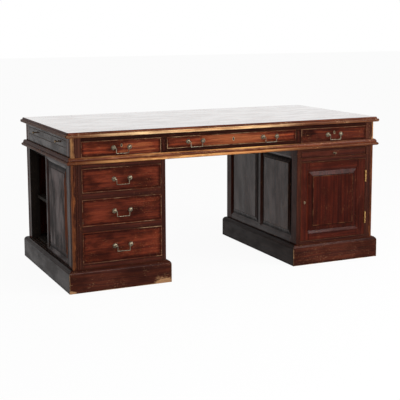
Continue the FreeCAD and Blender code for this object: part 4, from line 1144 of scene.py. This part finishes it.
@dataclass(frozen=True)
class KeyholeRing:
    """An oval brass ring round a keyhole.

    Args:
        half_width: Half of the width at the middle of the ring's band.
        half_height: Half of the height there.
        band: Half of the band's width.
        thick: Its thickness.
        hole: The thickness of the near-black dome that paints the shade in the hole.
        sides: Points round it.
    """

    half_width: float = 0.0042
    half_height: float = 0.0078
    band: float = 0.0009
    thick: float = 0.0016
    hole: float = 0.00064
    sides: int = 40

    def grid(self, scale: float) -> Array:
        """Return the ring: a small ellipse carried round a large one."""
        turn, section = circle(self.sides)[:, None], circle(10)[None, :]
        out = self.band * np.cos(section)
        face = np.broadcast_to(-self.thick / 2 * (1.0 + np.sin(section)), (self.sides, 10))
        return np.stack([(self.half_width * scale + out) * np.cos(turn), face,
                         (self.half_height * scale + out) * np.sin(turn)], axis=-1)

    def hole_grid(self, scale: float) -> Array:
        """Return the painted shade in the keyhole: a low oval dome that fills the ring."""
        swing = np.linspace(0.0, math.pi / 2, 5)
        dome = turned_grid(np.array([0.0, *np.cos(swing)]), np.array([0.0, *np.sin(swing)]), self.sides)
        return dome * (self.half_width * scale, self.hole, self.half_height * scale)


@dataclass(frozen=True)
class SlideKnob:
    """A small turned knob on a slide's facing.

    Args:
        collar: The radius of the collar on the facing.
        neck: The neck's radius.
        knob: The knob's radius.
        reach: The knob's reach.
        middle: The share of it at which the knob is widest.
        stem: The share of it at which the neck ends.
        steps: The reach of the collar, of its slope and of its foot.
        slope: The slope's radius, as a share of the collar's.
    """

    collar: float = 0.0062
    neck: float = 0.0030
    knob: float = 0.0070
    reach: float = 0.0200
    middle: float = 0.68
    stem: float = 0.36
    steps: Triple = (0.0012, 0.0020, 0.0030)
    slope: float = 0.75

    def grid(self) -> Array:
        """Return the knob: collar, neck, and a flattened ball that follows a half circle."""
        swing = np.linspace(-0.85, 1.0, 14) * math.pi / 2
        radius = np.concatenate([
            [0.0, self.collar, self.collar, self.collar * self.slope, self.neck, self.neck],
            self.knob * np.cos(swing)])
        reach = np.concatenate([
            [0.0, 0.0, *self.steps, self.reach * self.stem],
            self.reach * (self.middle + (1.0 - self.middle) * np.sin(swing))])
        return turned_grid(radius, reach, 28)


@dataclass(frozen=True)
class HingeKnuckle:
    """A hinge's round knuckle on its upright pin.

    Args:
        radius: The knuckle's radius.
        ease: The easing of its ends.
    """

    radius: float = 0.00408
    ease: float = 0.0007

    def grid(self, low: float, high: float) -> Array:
        """Return the knuckle between two heights, its ends eased by a short cone."""
        radius = self.radius - np.array([self.radius, self.ease, 0.0, 0.0, self.ease, self.radius])
        height = np.array([low, low, low + self.ease, high - self.ease, high, high])
        return turned_grid(radius, -height, 24)[..., [0, 2, 1]]


@dataclass(frozen=True)
class BrassFounder:
    """Makes the desk's brass pieces.

    Args:
        finisher: Gives the materials.
        handle: The pattern of the handles.
        ring: That of the keyhole rings.
        knob: That of the slides' knobs.
        knuckle: That of the hinges' knuckles.
        crisp: The least angle of an edge that stays sharp.
    """

    finisher: Finisher
    handle: DrawerHandle = DrawerHandle()
    ring: KeyholeRing = KeyholeRing()
    knob: SlideKnob = SlideKnob()
    knuckle: HingeKnuckle = HingeKnuckle()
    crisp: float = math.radians(50.0)

    def cast(self, piece: str, grids: list[Array], kind: Brass, body: str,
             stands_for: tuple[str, ...] = (), ring: bool = False) -> None:
        """Make one piece of closed shells.

        Corners at one place are merged, so that the poles close, and the faces are turned
        outwards.

        Args:
            piece: Its name.
            grids: Grids of points in place.
            kind: Its finish.
            body: The body it rides on.
            stands_for: The CAD nodes that it replaces.
            ring: Whether each grid is a ring.
        """
        faces: list[list[int]] = []
        count = 0
        for grid in grids:
            faces += [[corner + count for corner in loop] for loop in tube(grid, ring)]
            count += grid.shape[0] * grid.shape[1]
        mesh = bpy.data.meshes.new(piece)
        mesh.from_pydata(np.concatenate([grid.reshape(-1, 3) for grid in grids]).tolist(), [], faces)
        work = bmesh.new()
        work.from_mesh(mesh)
        bmesh.ops.remove_doubles(work, verts=work.verts, dist=MERGE)
        bmesh.ops.dissolve_degenerate(work, edges=work.edges, dist=MERGE / 10)
        bmesh.ops.recalc_face_normals(work, faces=work.faces)
        work.to_mesh(mesh)
        work.free()
        mesh.shade_smooth()
        mesh.set_sharp_from_angle(angle=self.crisp)
        mesh.materials.append(self.finisher.material(kind))
        settle(add(piece, mesh), body, stands_for)


# ------------------------------------------------------------------ the studio
@dataclass(frozen=True)
class Lamp:
    """A wide area lamp.

    Args:
        name: Its name.
        place: Its place.
        size: Its width and height.
        watts: Its power.
    """

    name: str
    place: Triple
    size: tuple[float, float]
    watts: float

    def hang(self, target: Triple) -> None:
        """Put the lamp into the scene, facing a place."""
        data = bpy.data.lights.new(self.name, "AREA")
        data.shape = "RECTANGLE"
        data.size, data.size_y = self.size
        data.energy = self.watts
        made = add(self.name, data)
        made.location = self.place
        ahead = Vector(target) - Vector(self.place)
        made.rotation_euler = ahead.to_track_quat("-Z", "Y").to_euler()


@dataclass(frozen=True)
class Studio:
    """The camera, the lamps, the floor and the world.

    Args:
        eye: The camera's place.
        yaw: Its turn to the right of +Y, in radians.
        pitch: Its rise above the horizon, in radians.
        roll: Its turn about its own line of sight, in radians.
        sensor: The width of its sensor in millimetres.
        lens: Its focal length in image widths.
        shift: Its shift across and up, in image widths.
        target: What the lamps face.
        lamps: The lamps.
        fill: The light from all round.
        reach: Half of the floor's width.
        pale: The floor's lightness.
        faint: How far the floor shows white, which keeps its shadow faint.
    """

    eye: Triple = (-2.1541340, -4.6897795, 1.2938357)
    yaw: float = 0.4324417
    pitch: float = -0.1414025
    roll: float = -0.0031993
    sensor: float = 36.0
    lens: float = 2.361227975
    shift: tuple[float, float] = (-0.0028309, -0.10805405)
    target: Triple = (0.0, 0.0, 0.4)
    lamps: tuple[Lamp, ...] = (
        Lamp("key_lamp", (1.9, -4.5, 1.85), (4.0, 0.9), 150.0),
        Lamp("front_lamp", (-1.4, -5.0, 1.5), (1.2, 1.2), 60.0),
        Lamp("high_lamp", (1.99, -1.67, 2.07), (1.0, 0.5), 20.0))
    fill: float = 0.42
    reach: float = 30.0
    pale: float = 0.92
    faint: float = 0.94

    def build(self) -> None:
        """Set up the whole studio."""
        self._camera()
        self._world()
        self._floor()
        for lamp in self.lamps:
            lamp.hang(self.target)
        bpy.context.scene.view_settings.view_transform = "Standard"

    def _camera(self) -> None:
        """Make the camera from its eye and its three turns."""
        data = bpy.data.cameras.new("view")
        data.sensor_width = self.sensor
        data.sensor_fit = "HORIZONTAL"
        data.lens = self.lens * self.sensor
        data.shift_x, data.shift_y = self.shift
        made = add("view", data)
        made.matrix_world = (
            Matrix.Translation(self.eye) @ Matrix.Rotation(-self.yaw, 4, "Z")
            @ Matrix.Rotation(math.pi / 2 + self.pitch, 4, "X") @ Matrix.Rotation(self.roll, 4, "Z"))
        bpy.context.scene.camera = made

    @staticmethod
    def _shown_white(graph: Graph) -> Value:
        """Return 1 for rays from the eye, from gloss and through glass, and else 0."""
        path = graph.node("LightPath").outputs
        seen, mirrored, through = (Value(graph, path[f"Is {kind} Ray"])
                                   for kind in ("Camera", "Glossy", "Transmission"))
        return seen.most(mirrored).most(through)

    def _world(self) -> None:
        """Light the desk from all round, and show white behind it."""
        made = bpy.data.worlds.new("studio")
        bpy.context.scene.world = made
        graph = graph_of(made)
        back = made.node_tree.nodes["Background"].inputs
        graph.feed(back["Color"], (1.0, 1.0, 1.0))
        graph.feed(back["Strength"], self._shown_white(graph) * (1.0 - self.fill) + self.fill)

    def _floor(self) -> None:
        """Lay a wide pale floor that keeps a faint shadow of the desk."""
        mesh = bpy.data.meshes.new("floor")
        mesh.from_pydata([(x * self.reach, y * self.reach, 0.0) for x, y in (
            (-1, -1), (1, -1), (1, 1), (-1, 1))], [], [(0, 1, 2, 3)])
        paint = bpy.data.materials.new("floor_paint")
        graph = graph_of(paint)
        shader = paint.node_tree.nodes["Principled BSDF"]
        graph.feed(shader.inputs["Base Color"], (self.pale,) * 3)
        shader.inputs["Roughness"].default_value = 1.0
        shader.inputs["Specular IOR Level"].default_value = 0.0
        shown = graph.node("MixShader", self._shown_white(graph) * self.faint,
                           Value(graph, shader.outputs[0]), graph.read("Emission", 0))
        graph.feed(paint.node_tree.nodes["Material Output"].inputs["Surface"],
                   Value(graph, shown.outputs[0]))
        mesh.materials.append(paint)
        add("floor", mesh)


# ------------------------------------------------------------------ the desk
class Side(Enum):
    """The desk's sides, each with its turn about Z from the front."""

    FRONT = 0.0
    REAR = math.pi
    LEFT = -math.pi / 2
    RIGHT = math.pi / 2


# No side of a post, a plate or a knob is longer
FITTING = 0.0305


def is_fitting(board: Board) -> bool:
    """Return whether a solid is a post, a plate or a knob, and not a board."""
    return bool(board.span.max() < FITTING)


def thinner(limit: float, thin: Wood, thick: Wood) -> Callable[[Board], Wood]:
    """Return how to finish panels, which are thinner than a limit, and their frames."""
    return lambda board: thin if board.span.min() < limit else thick


@dataclass
class Desk:
    """The whole desk.

    Args:
        joiner: Dresses the woodwork.
        founder: Makes the brass.
        face: Half of the carcase's depth, to the faces of its fronts.
        end: Half of its length, to the faces of its ends.
        slack: How far short of a face a board that lies in it may end.
        bead: How far a bead stands out of it at the least.
        lock: The greatest length of a lock's case.
        waist: The height below which the pedestals' drawers start.
        deep: Where the right-hand frieze drawers are, as their middle across times the face.
        panel: The greatest thickness of a panel.
        door_panel: That of a sliding door's panel.
        plinth_side: The least depth of a plinth's side.
        key_sizes: The scales of the rings of centre, side and door keyholes.
        key_drop: A side frieze keyhole's height above its handle's pivots.
        centre_key: A centre keyhole's height.
        door_key: The door's keyhole, across and up.
        knuckle_line: The doors' pivot line, across and out.
        hinges: The lower ends of the doors' hinges.
        hinge_height: A hinge's height.
        hinge_gap: The gap between its knuckles.
        end_knob: The end slides' knobs, from the middle and up.
        front_knob: The brushing slides' knob, across and up.
    """

    joiner: Joiner
    founder: BrassFounder
    face: float = 0.417
    end: float = 0.861
    slack: float = 0.0005
    bead: float = 0.002
    lock: float = 0.06
    waist: float = 0.65
    deep: float = -0.15
    panel: float = 0.016
    door_panel: float = 0.009
    plinth_side: float = 0.5
    key_sizes: Triple = (1.2, 1.0, 0.85)
    key_drop: float = 0.010
    centre_key: float = 0.7055
    door_key: tuple[float, float] = (0.426, 0.338)
    knuckle_line: tuple[float, float] = (0.8106, 0.4213)
    hinges: tuple[float, float] = (0.194, 0.425)
    hinge_height: float = 0.064
    hinge_gap: float = 0.0002
    end_knob: tuple[float, float] = (0.207, 0.717)
    front_knob: tuple[float, float] = (0.6055, 0.596)

    def build(self) -> None:
        """Dress the woodwork and fit the brass."""
        self._carcase()
        for side in (Side.FRONT, Side.REAR):
            self._drawers(side)
            self._slide(side, "brushing", [self.front_knob])
            self._cupboard_door(side)
        across, up = self.end_knob
        for side in (Side.LEFT, Side.RIGHT):
            self._slide(side, "end", [(-across, up), (across, up)])
            for label in ("outer", "inner"):
                door = f"{side.name.lower()}_{label}_sliding_door"
                self._dress(door, door, thinner(self.door_panel, Wood.END_FIELD, Wood.END_FRAME),
                            rub=Rub.ALL)

    def _carcase(self) -> None:
        """Dress the fixed woodwork."""
        # The posts' inward faces take the shaded inside finish, painted shade
        posts = {"rub": Rub.UPRIGHT, "second": (Wood.INSIDE, faces_in)}
        for node, kind, ways in (
                ("desk_top", Wood.TOP, {"second": (Wood.TOP_EDGE, leans)}),
                ("frieze_corner_posts", Wood.FRIEZE_POST, posts),
                ("pedestal_corner_posts", Wood.PEDESTAL_POST, posts),
                ("frieze_face_frames", Wood.FRIEZE_RAIL, {}),
                ("frieze_end_frames", Wood.END_RAIL, {}),
                ("frieze_carcase", Wood.INSIDE, {}),
                ("pedestal_carcase", Wood.INSIDE, {}),
                ("cupboard_shelves", Wood.INSIDE, {}),
                ("sliding_door_tracks", Wood.INSIDE, {}),
                ("waist_moulding", Wood.MOULDING, {}),
                ("pedestal_face_rails", Wood.RAIL, {})):
            slot = Slot.CARCASE_WOOD if kind is Wood.INSIDE else Slot.MAHOGANY
            self._dress(node, "carcase", lambda board, kind=kind: kind, slot, **ways)
        self._dress("cupboard_door_hinges", "carcase", lambda board: Brass.HINGE, Slot.BRASS)
        self._dress("plinths", "carcase", lambda board: (
            Wood.PLINTH_SIDE if board.span[1] > self.plinth_side else Wood.PLINTH))
        self._dress("kneehole_side_frames", "carcase",
                    thinner(self.panel, Wood.KNEE_FIELD, Wood.KNEE_FRAME))

    def _dress(self, node: str, body: str, finish: Callable[[Board], Optional[Enum]],
               slot: Slot = Slot.MAHOGANY, **ways: object) -> None:
        """Dress one CAD node."""
        self.joiner.dress((node,), f"{node}_finished", body, slot, finish, **ways)

    def _out(self, board: Board, axis: int = 1) -> float:
        """Return how far a board reaches along an axis, on either side of the middle."""
        return float(max(-board.low[axis], board.high[axis]))

    def _drawer_finish(self, board: Board) -> Optional[Enum]:
        """Return the finish of one solid of a drawer."""
        if is_fitting(board):
            return None
        if self._out(board) > self.face + self.bead:
            return Wood.BEAD
        if board.span.max() < self.lock:
            return Brass.LOCK
        if self._out(board) <= self.face - self.slack:
            return Wood.LINING
        if board.low[2] < self.waist:
            return Wood.FRONT
        across = float(board.low[0] + board.high[0]) / 2
        return Wood.DEEP if across * float(board.low[1]) < self.deep else Wood.FRIEZE

    def _slide_finish(self, board: Board) -> Optional[Enum]:
        """Return the finish of one solid of a slide."""
        if is_fitting(board):
            return None
        if self._out(board, 0) > self.end - self.slack:
            return Wood.END_RAIL
        return Wood.RAIL if self._out(board) > self.face - self.slack else Wood.LINING

    def _spot(self, side: Side, across: float, up: float, out: float = 0.0) -> Triple:
        """Return the place on a side's face that lies so far to the right of its middle."""
        face = self.face if side in (Side.FRONT, Side.REAR) else self.end
        return tuple(placed(np.array([across, -face - out, up]), (0.0, 0.0, 0.0), side.value))

    def _drawers(self, side: Side) -> None:
        """Dress one side's drawers and fit their handles and keyhole rings."""
        name, turn, founder = side.name.lower(), side.value, self.founder
        centre_scale, side_scale, _ = self.key_sizes
        swings = [joint for joint in frame["joints"]
                  if joint["name"].startswith(name) and joint["name"].endswith("_handle_swing")]
        for drawer in sorted({joint["parent"] for joint in swings}):
            own = [joint for joint in swings if joint["parent"] == drawer]
            mounts = tuple(node for node in (f"{drawer}_mounts",) if node in frame["nodes"])
            self._dress(drawer, drawer, self._drawer_finish)
            if mounts:
                self.joiner.dress(mounts, f"{drawer}_lock", drawer, Slot.BRASS,
                                  lambda board: None if is_fitting(board) else Brass.LOCK)
            bosses: list[Array] = []
            for joint in own:
                x, y, z = joint["pos_m"]
                y = math.copysign(self.face, y)
                bosses += [placed(founder.handle.boss_grid(), (x + shift, y, z), turn)
                           for shift in (-founder.handle.span / 2, founder.handle.span / 2)]
                bail = joint["child"]
                founder.cast(f"{bail}_bail", [placed(founder.handle.bail_grid(), (x, y, z), turn)],
                             Brass.BAIL, bail, (bail,))
            founder.cast(f"{drawer}_brass", bosses, Brass.BOSS, drawer, mounts)
            if len(own) == 2:
                self._keyhole(drawer, (0.0, y, self.centre_key), turn, centre_scale)
            elif "frieze" in drawer:
                self._keyhole(drawer, (x, y, z + self.key_drop), turn, side_scale)

    def _keyhole(self, body: str, at: Triple, turn: float, scale: float) -> None:
        """Fit a ring round a keyhole, and a dark dome that paints the shade in it."""
        founder = self.founder
        founder.cast(f"{body}_ring", [placed(founder.ring.grid(scale), at, turn)], Brass.RING, body,
                     ring=True)
        founder.cast(f"{body}_keyhole", [placed(founder.ring.hole_grid(scale), at, turn)],
                     Brass.HOLE, body)

    def _slide(self, side: Side, kind: str, knobs: list[tuple[float, float]]) -> None:
        """Dress one slide, and fit knobs across and up its side in place of its CAD knobs."""
        slide = f"{side.name.lower()}_{kind}_slide"
        self._dress(slide, slide, self._slide_finish)
        stands_for = tuple(node for node in (f"{slide}_knob", f"{slide}_knobs")
                           if node in frame["nodes"])
        grids = [placed(self.founder.knob.grid(), self._spot(side, *knob), side.value)
                 for knob in knobs]
        self.founder.cast(f"{slide}_knob_turned", grids, Brass.KNOB, slide, stands_for)

    def _cupboard_door(self, side: Side) -> None:
        """Dress one cupboard door with its hinges and keyhole ring."""
        door = f"{side.name.lower()}_cupboard_door"
        self._dress(door, door, thinner(self.panel, Wood.FIELD, Wood.DOOR), rub=Rub.ALL)
        self.joiner.dress((f"{door}_brass",), f"{door}_leaves", door, Slot.BRASS,
                          lambda board: None if is_fitting(board) else Brass.HINGE)
        self._keyhole(door, self._spot(side, *self.door_key), side.value,
                      self.key_sizes[2])
        across, out = self.knuckle_line
        at = self._spot(side, across, 0.0, out - self.face)
        third, gap = self.hinge_height / 3, self.hinge_gap
        for label, body, runs in (
                ("knuckles", door, [(third + gap, 2 * third - gap)]),
                ("frame_knuckles", "carcase", [(0.0, third - gap), (2 * third + gap, 3 * third)])):
            grids = [placed(self.founder.knuckle.grid(foot + low, foot + high), at, 0.0)
                     for foot in self.hinges for low, high in runs]
            self.founder.cast(f"{door}_{label}", grids, Brass.HINGE, body)


def main() -> None:
    """Build the looks."""
    logging.basicConfig(level=logging.INFO, format="%(message)s")
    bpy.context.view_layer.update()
    finisher = Finisher(Effects())
    Desk(Joiner(finisher), BrassFounder(finisher)).build()
    Studio().build()
    bpy.context.view_layer.update()


if __name__ == "__main__":
    main()
